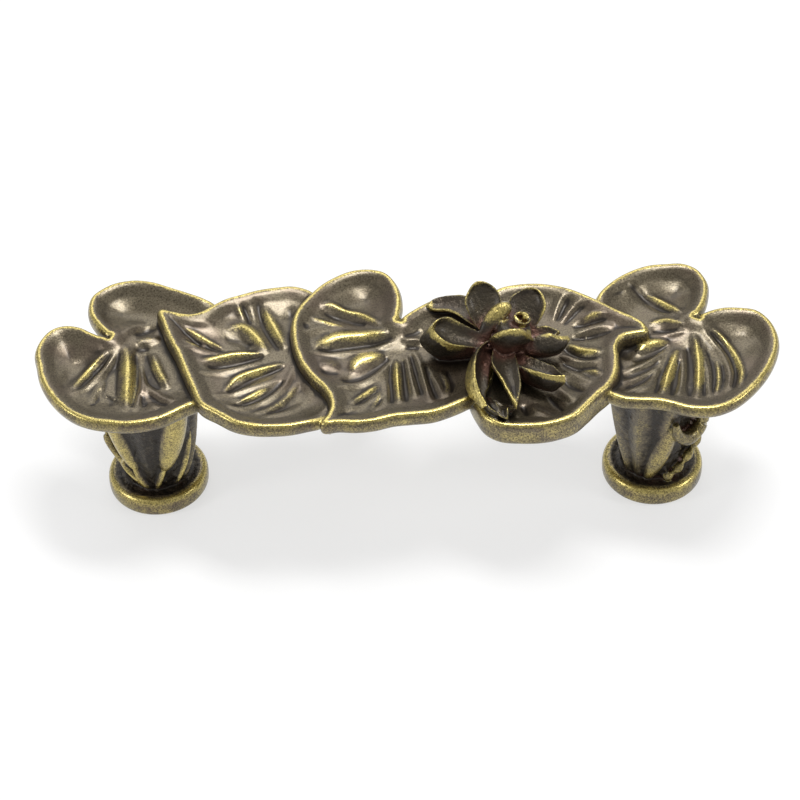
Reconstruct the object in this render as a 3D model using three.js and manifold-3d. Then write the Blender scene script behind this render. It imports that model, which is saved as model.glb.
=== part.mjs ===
import * as THREE from 'three';
import { mergeVertices } from 'three/addons/utils/BufferGeometryUtils.js';
import Module from 'manifold-3d';

// A cast drawer pull: five lily pads in a row with an open flower on them, carried on two
// posts wrapped in reeds. Millimetres, +Z away from the drawer front, the feet stand on Z = 0.
const CENTRES = 76.2;
const FOOT_DIAMETER = 15.4;
const FOOT_HEIGHT = 3.2;
const FOOT_ROUNDING = 0.8;
const WAIST_DIAMETER = 9.4;
const HEAD_DIAMETER = 14.6;
const LEAF_HEIGHT = 26.0;
const LEAF_THICKNESS = 2.9;
const EDGE_BULGE = 0.55;
const RIM_WIDTH = 1.0;
const RIM_RISE = 1.0;
const RIB_RISE = 0.95;
const RIB_STATIONS = 5;
const FOLD_SINK = 0.35;
const PETAL_LIP = 0.55;
const PETAL_EDGE = 0.4;
const STALK_SIDES = 7;
const THREAD_DRILL = 3.45;
const THREAD_DEPTH = 12.0;

// The pads and the flower follow the screw centres, the posts stay round.
const SPREAD = CENTRES / 76.2;

const wasm = await Module();
wasm.setup();

function solidOf(geometry) {
  geometry.deleteAttribute('normal');
  geometry.deleteAttribute('uv');
  const welded = mergeVertices(geometry, 1e-5);
  const mesh = new wasm.Mesh({
    numProp: 3,
    vertProperties: Float32Array.from(welded.attributes.position.array),
    triVerts: Uint32Array.from(welded.index.array),
  });
  return new wasm.Manifold(mesh);
}

// A closed skin over rings of equal count, with a single point at each end.
function skin(first, rings, last) {
  const count = rings[0].length;
  const points = [first, ...rings.flat(), last];
  const faces = [];
  for (let k = 0; k < count; k += 1) {
    const next = (k + 1) % count;
    faces.push(0, 1 + next, 1 + k);
    for (let r = 0; r < rings.length - 1; r += 1) {
      const a = 1 + r * count;
      const b = a + count;
      faces.push(a + k, a + next, b + next, a + k, b + next, b + k);
    }
    const end = 1 + (rings.length - 1) * count;
    faces.push(end + k, end + next, points.length - 1);
  }
  const geometry = new THREE.BufferGeometry();
  geometry.setAttribute('position', new THREE.Float32BufferAttribute(points.flatMap((p) => p.toArray()), 3));
  geometry.setIndex(faces);
  return solidOf(geometry);
}

function distanceToLoop(x, y, loop) {
  let best = Infinity;
  for (let k = 0; k < loop.length; k += 1) {
    const [ax, ay] = loop[k];
    const [bx, by] = loop[(k + 1) % loop.length];
    const along = ((x - ax) * (bx - ax) + (y - ay) * (by - ay)) / ((bx - ax) ** 2 + (by - ay) ** 2);
    const t = THREE.MathUtils.clamp(along, 0, 1);
    best = Math.min(best, Math.hypot(x - ax - t * (bx - ax), y - ay - t * (by - ay)));
  }
  return best;
}

// The outline pushed out square to itself, for the edge that swells beyond the rim line.
function outset(loop, distance) {
  return loop.map(([x, y, dip = 0], k) => {
    const [ax, ay] = loop[(k + loop.length - 1) % loop.length];
    const [bx, by] = loop[(k + 1) % loop.length];
    const length = Math.hypot(bx - ax, by - ay);
    return [x + ((by - ay) / length) * distance, y - ((bx - ax) / length) * distance, dip];
  });
}

// The outline drawn in by an even distance, each point sliding towards the middle of the pad.
function inset(loop, middle, distance) {
  if (distance <= 0) return outset(loop, -distance);
  return loop.map(([x, y, dip = 0]) => {
    let low = 0;
    let high = 0;
    while (high < 0.92) {
      high += 0.02;
      const px = x + (middle[0] - x) * high;
      const py = y + (middle[1] - y) * high;
      if (distanceToLoop(px, py, loop) >= distance) break;
      low = high;
    }
    const t = (low + high) / 2;
    return [x + (middle[0] - x) * t, y + (middle[1] - y) * t, dip];
  });
}

function rimHeight(pad, x, y) {
  return LEAF_HEIGHT + pad.lift + pad.tilt[0] * (x - pad.hub[0]) + pad.tilt[1] * (y - pad.hub[1]);
}

// Height of the dished face: it falls away from the foot of the rim towards the hub.
function faceHeight(pad, x, y) {
  const from = distanceToLoop(x, y, pad.outline) - RIM_WIDTH;
  return rimHeight(pad, x, y) - RIM_RISE - 0.45 * THREE.MathUtils.smoothstep(from, 0, 4);
}

// A fold of the face: a crest that dies out at both ends, rising from a groove on each side.
function faceRib(pad, [halfWidth, ...points]) {
  const path = points.map(([dx, dy]) => new THREE.Vector3(pad.hub[0] + dx, pad.hub[1] + dy, 0));
  const curve = new THREE.CatmullRomCurve3(path, false, 'centripetal');
  const left = [];
  const right = [];
  const crest = [];
  const place = (x, y, above) => new THREE.Vector3(x, y, faceHeight(pad, x, y) + above);
  for (let k = 1; k < RIB_STATIONS; k += 1) {
    const s = k / RIB_STATIONS;
    const at = curve.getPointAt(s);
    const along = curve.getTangentAt(s);
    const half = halfWidth * Math.sin(Math.PI * s) ** 0.6;
    const sink = FOLD_SINK * Math.min(1, halfWidth) * Math.sin(Math.PI * s);
    left.push(place(at.x - along.y * half, at.y + along.x * half, -sink));
    right.push(place(at.x + along.y * half, at.y - along.x * half, -sink));
    crest.push(place(at.x, at.y, RIB_RISE * Math.min(1, halfWidth) * Math.sin(Math.PI * s) ** 0.5));
  }
  const ends = [path[0], path[path.length - 1]].map(({ x, y }) => place(x, y, 0));
  return { loop: [ends[0], ...left, ends[1], ...right.reverse()], crest };
}

// A shallow hollow pressed into a smooth lobe, as [x, y, radius, depth].
function faceHollow(pad, [dx, dy, radius, depth]) {
  const x = pad.hub[0] + dx;
  const y = pad.hub[1] + dy;
  const loop = [0, 1, 2, 3, 4, 5, 6, 7].map((k) => {
    const angle = (k * Math.PI) / 4 + 0.2;
    const px = x + radius * Math.cos(angle);
    const py = y + radius * Math.sin(angle);
    return new THREE.Vector3(px, py, faceHeight(pad, px, py));
  });
  return { loop, crest: [new THREE.Vector3(x, y, faceHeight(pad, x, y) - depth)] };
}

// One pad: flat underside, upright edge, rounded rim, and the face with its ribs and hollows.
function padSolid(pad) {
  const under = LEAF_HEIGHT + pad.lift - pad.depth;
  const steps = [
    [0.9, () => under],
    [-EDGE_BULGE * 0.5, () => under + 0.5],
    [-EDGE_BULGE, () => under + 1.2],
    [-EDGE_BULGE, (z) => z - 0.7],
    [0, (z) => z],
    [RIM_WIDTH, (z) => z - RIM_RISE],
  ];
  const rings = steps.map(([distance, height], step) => inset(pad.outline, pad.middle, distance)
    .map(([x, y, dip]) => new THREE.Vector3(x, y, height(rimHeight(pad, x, y) + (step === 4 ? dip : 0)))));
  const count = pad.outline.length;
  const points = [new THREE.Vector3(pad.middle[0], pad.middle[1], under), ...rings.flat()];
  const faces = [];
  for (let k = 0; k < count; k += 1) {
    const next = (k + 1) % count;
    faces.push(0, 1 + next, 1 + k);
    for (let r = 0; r < rings.length - 1; r += 1) {
      const a = 1 + r * count;
      const b = a + count;
      faces.push(a + k, a + next, b + next, a + k, b + next, b + k);
    }
  }
  const upward = (a, b, c) => {
    const [p, q, r] = [a, b, c].map((k) => points[k]);
    const turn = (q.x - p.x) * (r.y - p.y) - (q.y - p.y) * (r.x - p.x);
    faces.push(a, ...(turn > 0 ? [b, c] : [c, b]));
  };
  const features = [
    ...pad.ribs.map((row) => faceRib(pad, row)),
    ...pad.hollows.map((row) => faceHollow(pad, row)),
  ];
  const edge = 1 + (rings.length - 1) * count;
  const index = rings[rings.length - 1].map((_, k) => edge + k);
  features.forEach(({ loop, crest }) => {
    const first = points.length;
    points.push(...loop, ...crest);
    const foot = loop.map((_, k) => first + k);
    const top = first + loop.length;
    index.push(...foot);
    if (crest.length === 1) {
      foot.forEach((a, k) => upward(a, foot[(k + 1) % foot.length], top));
      return;
    }
    const m = crest.length;
    upward(foot[0], foot[1], top);
    upward(foot[0], foot[2 * m + 1], top);
    upward(foot[m], foot[m + 1], top + m - 1);
    upward(foot[m + 1], foot[m + 2], top + m - 1);
    for (let k = 0; k < m - 1; k += 1) {
      const l = foot[1 + k];
      const r = foot[2 * m + 1 - k];
      upward(l, foot[2 + k], top + k);
      upward(foot[2 + k], top + k, top + k + 1);
      upward(r, foot[2 * m - k], top + k);
      upward(foot[2 * m - k], top + k, top + k + 1);
    }
  });
  const flat = (ring) => ring.map((p) => new THREE.Vector2(p.x, p.y));
  const holes = features.map(({ loop }) => flat(loop).reverse());
  const offsets = [count];
  features.forEach(({ loop }) => offsets.push(offsets[offsets.length - 1] + loop.length));
  const forward = (k) => {
    const hole = offsets.findLastIndex((start) => k >= start);
    if (hole < 0) return index[k];
    return index[offsets[hole] + offsets[hole + 1] - 1 - k];
  };
  THREE.ShapeUtils.triangulateShape(flat(rings[rings.length - 1]), holes)
    .forEach(([a, b, c]) => upward(forward(a), forward(b), forward(c)));
  const geometry = new THREE.BufferGeometry();
  const flatPoints = points.flatMap((p) => [p.x * SPREAD, p.y, p.z]);
  geometry.setAttribute('position', new THREE.Float32BufferAttribute(flatPoints, 3));
  geometry.setIndex(faces);
  return solidOf(geometry);
}

// A swelling rib that dies out at both ends, laid along a path with an outward direction.
function rib(path, outwardAt, halfWidth, rise, stations) {
  const curve = new THREE.CatmullRomCurve3(path, false, 'centripetal');
  const angles = [-20, 60, 120, 200].map(THREE.MathUtils.degToRad);
  const rings = [];
  for (let k = 1; k < stations - 1; k += 1) {
    const s = k / (stations - 1);
    const centre = curve.getPointAt(s);
    const outward = outwardAt(centre);
    const side = new THREE.Vector3().crossVectors(curve.getTangentAt(s), outward).normalize();
    const swell = Math.sin(Math.PI * s) ** 0.6;
    rings.push(angles.map((angle) => centre.clone()
      .addScaledVector(side, -halfWidth * swell * Math.cos(angle))
      .addScaledVector(outward, Math.sin(angle) * (angle > 0 && angle < 3.2 ? rise : 1.4) * swell)));
  }
  return skin(curve.getPoint(0), rings, curve.getPoint(1));
}

// A cupped petal with a raised lip and a heavy underside, laid along its bent spine. A pointed
// petal runs out to a tip, the others are rounded off.
function petal({ spine, halves, facing, cup, under, pointed = false }) {
  const curve = new THREE.CatmullRomCurve3(spine.map((p) => new THREE.Vector3(...p)), false, 'centripetal');
  const hollow = new THREE.Vector3(...facing);
  const turnIn = 1 - (1.1 * halves[halves.length - 1]) / curve.getLength();
  const stations = pointed ? [0, 0.3, 0.55, 0.74, 0.88, 0.98] : [0, 0.35, 0.65, 0.85, 0.95, 0.995];
  const rings = stations.map((s) => {
    const at = curve.getPointAt(s);
    const along = curve.getTangentAt(s);
    const up = hollow.clone().addScaledVector(along, -hollow.dot(along)).normalize();
    const side = new THREE.Vector3().crossVectors(up, along);
    const step = Math.min(Math.floor(s * (halves.length - 1)), halves.length - 2);
    const wide = THREE.MathUtils.lerp(halves[step], halves[step + 1], s * (halves.length - 1) - step);
    const past = Math.max(0, (s - turnIn) / (1 - turnIn));
    const half = wide * (pointed ? Math.min(1, (1 - s) / 0.3) ** 0.75 : Math.sqrt(1 - past ** 2));
    const place = (t, above) => at.clone().addScaledVector(side, half * t).addScaledVector(up, above);
    const dish = (t) => cup * half * t * t;
    const lip = Math.min(PETAL_LIP, half * 0.6);
    const belly = PETAL_EDGE + (under - PETAL_EDGE) * Math.min(1, half / 1.2);
    return [
      ...[0.85, 0.45, 0, -0.45, -0.85].map((t) => place(t, dish(t) + (Math.abs(t) > 0.8 ? lip : 0))),
      place(-1, dish(1)),
      ...[-0.55, 0.55].map((t) => place(t, dish(t) - belly * (1 - Math.abs(t) ** 1.6))),
      place(1, dish(1)),
    ];
  });
  return skin(curve.getPointAt(0), rings, curve.getPointAt(1).addScaledVector(hollow, PETAL_LIP * 0.3));
}

// A round stalk bent along its points, with its radius given at each of them.
function stalk(points, radii) {
  const curve = new THREE.CatmullRomCurve3(points, false, 'centripetal');
  const rings = radii.map((radius, k) => {
    const along = curve.getTangent(k / (radii.length - 1));
    const across = new THREE.Vector3(0, -1, 0).addScaledVector(along, along.y).normalize();
    const other = new THREE.Vector3().crossVectors(along, across);
    return Array.from({ length: STALK_SIDES }, (_, n) => {
      const angle = (n * 2 * Math.PI) / STALK_SIDES;
      return curve.getPoint(k / (radii.length - 1))
        .addScaledVector(across, radius * Math.cos(angle))
        .addScaledVector(other, radius * Math.sin(angle));
    });
  });
  return skin(curve.getPoint(0), rings, curve.getPoint(1));
}

function turned(profile, segments) {
  const points = profile.map(([radius, height]) => new THREE.Vector2(radius, height));
  const geometry = new THREE.LatheGeometry([...points, points[0]], segments);
  geometry.rotateX(Math.PI / 2);
  return geometry;
}

function postRadius(z) {
  const t = THREE.MathUtils.clamp((z - FOOT_HEIGHT) / (LEAF_HEIGHT - 3 - FOOT_HEIGHT), 0, 1);
  return THREE.MathUtils.lerp(WAIST_DIAMETER, HEAD_DIAMETER, t ** 1.15) / 2;
}

// Round foot with softened edges and the trunk that opens upwards like a bunch of stems.
function postBody(x) {
  const foot = FOOT_DIAMETER / 2;
  const top = LEAF_HEIGHT - 2.0;
  const trunk = [4.2, 7, 10.5, 14.5, 19].map((z) => [postRadius(z), z]);
  const profile = [
    [0, 0],
    [foot - 0.35, 0],
    [foot, 0.4],
    [foot, FOOT_HEIGHT - FOOT_ROUNDING],
    [foot - FOOT_ROUNDING * 0.3, FOOT_HEIGHT - FOOT_ROUNDING * 0.3],
    [foot - FOOT_ROUNDING, FOOT_HEIGHT],
    [WAIST_DIAMETER / 2 + 0.5, FOOT_HEIGHT],
    ...trunk,
    [HEAD_DIAMETER / 2, LEAF_HEIGHT - 3],
    [HEAD_DIAMETER / 2, top],
    [0, top],
  ];
  return solidOf(turned(profile, 24).translate(x, 0, 0));
}

// A stem, leaf or seed head lying on the post: rows of [turn from the front, height, stand-off].
function onPost(x, halfWidth, rise, rows, stations = 7) {
  const path = rows.map(([turn, z, off = 0], k) => {
    const angle = THREE.MathUtils.degToRad(turn);
    const buried = k === 0 || k === rows.length - 1 ? 0.4 : 0;
    const radius = postRadius(z) + off - buried;
    return new THREE.Vector3(x + radius * Math.sin(angle), -radius * Math.cos(angle), z);
  });
  const outward = (p) => new THREE.Vector3(p.x - x, p.y, 0).normalize();
  return rib(path, outward, halfWidth, rise, stations);
}

// A stalk wound round the post: rows of [turn from the front, height, stand-off].
function roundPost(x, rows, radii) {
  const points = rows.map(([turn, z, off]) => {
    const angle = THREE.MathUtils.degToRad(turn);
    const radius = postRadius(z) + off;
    return new THREE.Vector3(x + radius * Math.sin(angle), -radius * Math.cos(angle), z);
  });
  return stalk(points, radii);
}

function leftPost() {
  const x = -CENTRES / 2;
  return [
    postBody(x),
    onPost(x, 1.7, 1.1, [[-62, 20.5], [-46, 12.5], [-28, 6.6]]),
    onPost(x, 0.55, 0.6, [[-33, 9], [-22, 5], [-8, 2.9]], 5),
    onPost(x, 1.9, 1.2, [[50, 21.5], [36, 13.5], [19, 7.2]]),
    onPost(x, 0.6, 0.6, [[24, 9.5], [10, 5.5], [0, 2.9]], 5),
    onPost(x, 1.4, 1.2, [[90, 19], [86, 10], [52, 3.0]]),
    onPost(x, 0.7, 0.7, [[66, 12], [48, 6], [22, 2.9]], 5),
    onPost(x, 0.6, 0.6, [[-92, 14], [-62, 8], [-20, 3.0]]),
    roundPost(x, [[-48, 6.4, 0.2], [-64, 8.8, 0.7], [-80, 10.8, 1.2], [-94, 14.8, 0.9]], [0.4, 0.6, 0.8, 0.6]),
    onPost(x, 0.7, 0.7, [[-70, 7], [-52, 4.5], [-36, 2.9]], 5),
    onPost(x, 1.5, 0.7, [[0, 23], [-3, 14], [-5, 5]]),
    onPost(x, 1.8, 1.1, [[128, 21], [140, 12], [150, 4]]),
    onPost(x, 1.8, 1.1, [[-118, 21], [-140, 12], [-156, 4]]),
    onPost(x, 1.4, 0.9, [[176, 22], [178, 12], [180, 3.2]]),
  ];
}

function rightPost() {
  const x = CENTRES / 2;
  const beads = [[14, 3.4, 0.5], [30, 4.4, 0.7], [46, 6.0, 0.9], [62, 8.0, 1.2], [74, 10.2, 1.5], [82, 12.6, 1.6],
    [88, 15.2, 1.4], [92, 17.8, 1.0], [96, 20.6, 0.4]];
  const seeds = beads.slice(0, -1).map(([turn, z, off], k) => {
    const [turnTo, zTo, offTo] = beads[k + 1];
    const half = [(turn + turnTo) / 2, (z + zTo) / 2, (off + offTo) / 2];
    return roundPost(x, [[turn, z, off], half, [turnTo, zTo, offTo]], [0.45, 0.95, 0.45]);
  });
  return [
    postBody(x),
    onPost(x, 2.6, 1.0, [[-70, 22], [-65, 12], [-50, 3.0]]),
    onPost(x, 1.4, 0.7, [[-30, 22.5], [-38, 12], [-42, 4]]),
    onPost(x, 1.9, 1.4, [[26, 16.5], [6, 9.5], [-18, 3.2]]),
    roundPost(x, [[56, 23, 0.3], [66, 17, 1.2], [58, 13.6, 1.5], [38, 12.9, 1.4], [24, 14.4, 1.2], [19, 17, 0.9]],
      [0.8, 1.1, 1.3, 1.35, 1.1, 0.7]),
    onPost(x, 1.5, 0.7, [[4, 23], [-6, 16], [-14, 9]]),
    onPost(x, 1.2, 1.1, [[92, 21], [80, 12], [48, 3.4]]),
    onPost(x, 2.0, 1.1, [[-112, 21], [-128, 12], [-146, 4]]),
    onPost(x, 1.8, 1.1, [[132, 21], [146, 12], [158, 4]]),
    onPost(x, 1.5, 0.9, [[-176, 22], [-178, 12], [-180, 3.2]]),
    ...seeds,
  ];
}

// Blind hole for the machine screw, drilled up from the foot, with a small countersink.
function screwHole(x) {
  const radius = THREAD_DRILL / 2;
  const profile = [
    [0, -1],
    [radius + 1.4, -1],
    [radius, 0.4],
    [radius, THREAD_DEPTH],
    [0, THREAD_DEPTH + radius * 0.6],
  ];
  return solidOf(turned(profile, 20).translate(x, 0, 0));
}

// The pads, left to right. Outlines run against the clock as [x, y, dip]; the last column
// sinks the rim where the next pad lies over it. Ribs are [half width, points from the hub].
const PADS = [
  {
    hub: [-41.0, 5.1],
    middle: [-39.0, 0.1],
    lift: 0,
    tilt: [0, 0.03],
    depth: LEAF_THICKNESS + 0.2,
    outline: [
      [-43.2, 5.3], [-44.5, 5.1], [-46.4, 6.0], [-48.3, 7.2], [-50.4, 7.6], [-52.2, 6.9], [-53.5, 4.9],
      [-54.0, 2.5], [-53.5, 0.1], [-52.8, -2.8], [-51.4, -5.8], [-49.4, -8.5], [-47.2, -10.4],
      [-44.8, -11.5], [-41.8, -12.1], [-39.7, -12.3], [-37.0, -12.0], [-34.8, -11.3], [-32.8, -10.1],
      [-31.1, -9.0], [-29.4, -8.0, -0.3], [-28.2, -5.5, -1.3], [-28.0, -2.0, -1.3], [-28.0, 2.0, -1.3],
      [-27.8, 6.0, -1.3], [-27.2, 9.5, -1.3], [-28.3, 11.9, -0.4], [-30.0, 12.9], [-32.5, 14.2],
      [-35.5, 15.6], [-38.0, 16.7], [-40.8, 17.1], [-43.6, 16.5], [-45.5, 15.2], [-46.5, 14.0],
      [-46.8, 12.3], [-46.6, 10.5], [-45.4, 8.2], [-43.9, 6.3],
    ],
    hollows: [[-8.4, -2.8, 1.9, 0.3], [-0.4, 7.0, 2.1, 0.35]],
    ribs: [
      [1.0, [-2.0, -2.3], [-4.8, -5.9], [-7.3, -10.1]],
      [0.8, [-3.0, -7.8], [-5.5, -12.9]],
      [0.8, [-2.4, -8.8], [-1.3, -13.9]],
      [1.5, [0.1, -1.6], [0.2, -8.1], [1.1, -14.7]],
      [0.8, [2.0, -4.0], [2.7, -8.2], [2.7, -14.2]],
      [0.8, [4.5, -9.6], [7.5, -12.6]],
      [0.9, [3.8, -2.2], [5.4, -6.2], [7.9, -9.0]],
      [1.0, [1.5, -0.4], [5.2, 1.3]],
      [0.8, [-0.3, 2.2], [2.3, 4.4]],
    ],
  },
  {
    hub: [-17.1, 1.0],
    middle: [-20.0, 0.0],
    lift: 0.6,
    tilt: [-0.03, 0.02],
    depth: LEAF_THICKNESS,
    outline: [
      [-36.0, 9.5], [-35.3, 7.0], [-34.2, 3.7], [-32.7, 0.3], [-31.5, -3.2], [-30.2, -6.6], [-28.9, -9.8],
      [-26.4, -11.7], [-24.0, -13.4], [-21.4, -14.2], [-18.6, -14.4], [-15.9, -14.2], [-13.5, -13.6],
      [-11.6, -13.0, -0.3], [-9.6, -11.2, -1.3], [-8.6, -8.0, -1.3], [-9.0, -4.5, -1.3],
      [-11.2, -1.0, -1.3], [-12.4, 3.0, -1.3], [-12.4, 7.0, -1.3], [-11.8, 10.4, -1.3],
      [-13.3, 13.4, -0.4], [-16.1, 14.4], [-18.6, 14.2], [-21.5, 13.6], [-24.3, 12.5], [-26.2, 11.7],
      [-28.0, 10.4], [-29.9, 8.9], [-31.8, 8.4], [-34.1, 8.9],
    ],
    hollows: [],
    ribs: [
      [1.0, [-3.4, 0.2], [-8.7, -0.6], [-13.3, -1.9]],
      [0.7, [-3.2, -1.2], [-8.5, -3.3], [-11.9, -4.4]],
      [1.0, [-0.1, -1.4], [-6.7, -4.9], [-9.7, -7.7]],
      [0.9, [-1.4, -5.2], [-5.7, -7.6], [-9.8, -9.2]],
      [0.7, [-2.2, -7.6], [-6.8, -10.8]],
      [0.9, [0.8, -2.7], [0.0, -6.9], [-2.7, -10.8], [-6.8, -12.6]],
      [0.9, [2.4, -5.1], [-0.2, -11.1], [-4.1, -13.6]],
      [1.1, [-2.7, 0.7], [-4.5, 4.2], [-8.2, 6.4]],
      [1.1, [0.0, 1.0], [-2.1, 6.7], [-4.1, 10.5]],
      [0.9, [-8.8, 1.5], [-12.0, 3.7], [-14.4, 5.2]],
      [0.6, [-11.6, 0.8], [-14.9, 2.2]],
      [0.7, [-6.7, 7.5], [-7.2, 9.0]],
    ],
  },
  {
    hub: [17.7, 1.9],
    middle: [20.0, 0.0],
    lift: 0.6,
    tilt: [0.02, 0.02],
    depth: LEAF_THICKNESS + 1.7,
    outline: [
      [36.3, 3.1], [35.9, 4.6], [34.5, 6.0], [32.2, 7.6], [29.8, 9.5], [27.4, 11.2], [25.0, 12.6],
      [21.3, 13.7], [17.5, 13.7], [14.7, 12.8], [12.0, 10.2, -0.8], [10.8, 6.5, -1.3],
      [10.2, 2.0, -1.3], [10.0, -3.0, -1.3], [10.2, -7.5, -1.0], [11.3, -11.2], [12.5, -13.5],
      [14.4, -14.8], [17.1, -15.2], [20.1, -15.2], [22.4, -14.7], [24.8, -13.6], [26.7, -11.6],
      [28.5, -9.4], [30.3, -7.4], [31.4, -4.9], [31.6, -2.2], [31.7, 0.4], [32.8, 2.2], [34.8, 2.8],
    ],
    hollows: [[1.0, -9.0, 1.0, 0.05]],
    ribs: [
      [1.0, [4.5, 4.3], [9.0, 7.0]],
      [0.8, [6.9, 3.0], [10.2, 4.2], [13.2, 3.7]],
      [0.9, [7.6, 1.6], [13.6, 1.6]],
      [0.9, [7.3, -0.3], [10.8, -2.2]],
      [1.0, [5.4, -4.2], [12.0, -4.6]],
      [1.0, [6.4, -8.6], [9.6, -10.4]],
      [0.6, [8.5, -6.6], [10.8, -7.9]],
      [0.8, [4.0, -11.9], [6.4, -13.3]],
      [0.9, [0.5, -11.6], [2.6, -14.6]],
    ],
  },
  {
    hub: [-0.5, 3.7],
    middle: [-2.0, -3.0],
    lift: 1.2,
    tilt: [0, 0.02],
    depth: LEAF_THICKNESS + 0.2,
    outline: [
      [-0.2, 5.9], [-0.5, 7.5], [-0.2, 10.0], [-0.5, 12.7], [-1.3, 14.8], [-2.6, 16.5], [-4.9, 17.2],
      [-7.4, 16.9], [-9.7, 15.7], [-11.8, 14.0], [-13.5, 11.8], [-15.0, 9.4], [-15.8, 6.4], [-15.7, 3.1],
      [-15.2, 0.4], [-14.2, -2.5], [-12.6, -5.2], [-11.1, -7.1], [-10.1, -9.1], [-9.8, -11.2],
      [-10.2, -12.7], [-11.1, -14.4], [-8.9, -14.2], [-6.5, -14.4], [-3.8, -14.1], [-1.1, -13.3],
      [1.7, -13.0], [4.5, -12.7], [7.2, -11.6], [9.3, -10.4], [11.4, -8.8, -0.4], [12.8, -5.0, -1.2],
      [13.4, 0.0, -1.2], [13.0, 5.0, -1.2], [12.0, 8.8, -0.8], [9.5, 11.1], [7.6, 11.0], [5.7, 10.5],
      [4.1, 9.6], [2.6, 8.5], [1.1, 7.2],
    ],
    hollows: [[-4.0, 8.9, 1.9, 0.4], [7.2, 3.0, 1.2, 0.2]],
    ribs: [
      [1.1, [-1.7, 2.4], [-5.0, 4.9], [-11.1, 6.9]],
      [0.7, [-6.1, 2.3], [-9.1, 3.2], [-12.4, 4.5]],
      [1.5, [-1.5, 0.2], [-7.2, 0.2], [-12.5, -2.1]],
      [0.9, [-0.8, -1.4], [-5.3, -3.1], [-12.0, -4.9]],
      [1.1, [-2.1, -4.1], [-6.0, -7.2]],
      [0.8, [-1.4, -6.2], [-4.4, -10.4], [-7.6, -11.8]],
      [0.8, [-4.0, -12.2], [-7.2, -15.9]],
      [0.8, [-2.9, -12.4], [-3.9, -15.6]],
      [1.1, [-0.2, -4.6], [0.2, -14.4]],
      [0.9, [0.9, -3.2], [1.9, -8.1], [2.6, -13.2]],
      [0.9, [2.3, -2.6], [3.9, -7.6], [4.8, -13.8]],
      [0.7, [5.9, -7.4], [7.2, -12.4]],
      [0.9, [0.7, 0.2], [4.4, -0.2]],
      [0.5, [-1.7, -9.2], [-1.5, -12.0]],
    ],
  },
  {
    hub: [43.1, 5.1],
    middle: [39.0, -1.0],
    lift: 0,
    tilt: [0, 0.03],
    depth: LEAF_THICKNESS,
    outline: [
      [44.1, 6.5], [44.3, 7.8], [45.3, 9.7], [45.9, 11.8], [46.1, 13.8], [45.7, 15.4], [44.8, 17.0],
      [42.9, 18.1], [40.6, 18.1], [38.1, 17.9], [35.9, 17.1], [33.7, 15.8], [31.9, 14.2], [30.5, 12.5],
      [29.6, 10.8, -0.4], [28.4, 8.0, -1.3], [28.2, 4.0, -1.3], [28.2, 0.0, -1.3], [28.4, -4.0, -1.3],
      [29.2, -7.2, -0.5], [30.5, -8.5], [32.4, -9.5], [34.5, -9.8], [36.7, -9.9], [38.8, -10.4],
      [41.2, -11.4], [43.5, -11.8], [45.7, -11.6], [48.1, -10.5], [50.2, -8.7], [52.4, -6.0],
      [53.9, -3.5], [55.0, -0.8], [55.5, 1.6], [55.3, 4.0], [54.5, 6.1], [53.0, 7.8], [50.9, 8.3],
      [48.6, 8.4], [46.7, 7.9], [44.9, 7.0],
    ],
    hollows: [[8.6, -1.6, 1.4, 0.3], [-1.4, 8.6, 1.5, 0.35]],
    ribs: [
      [1.0, [-1.3, 3.4], [-3.0, 6.0], [-6.3, 8.0]],
      [0.9, [-0.6, 0.2], [-2.5, 1.6], [-6.0, 2.0]],
      [1.1, [-3.0, -1.3], [-8.0, -2.7]],
      [0.9, [-3.7, -3.9], [-7.1, -6.6], [-10.2, -8.0]],
      [0.8, [-5.1, -7.0], [-8.2, -9.3], [-11.0, -11.1]],
      [0.6, [-5.2, -9.2], [-7.1, -11.4], [-9.0, -12.2]],
      [1.1, [-2.1, -4.3], [-4.2, -10.0], [-5.0, -13.0]],
      [0.8, [-0.7, -3.8], [-1.5, -9.0], [-2.7, -13.6]],
      [0.9, [0.7, -1.9], [0.5, -7.3], [0.1, -13.8]],
      [0.6, [2.3, -5.4], [2.1, -13.6]],
      [0.7, [3.5, -5.6], [3.9, -10.0], [3.2, -14.1]],
      [0.9, [2.4, -1.4], [5.3, -6.6], [5.2, -12.4]],
      [0.8, [3.2, -0.2], [6.3, -4.0], [7.3, -8.7], [6.7, -11.6]],
    ],
  },
];

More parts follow.
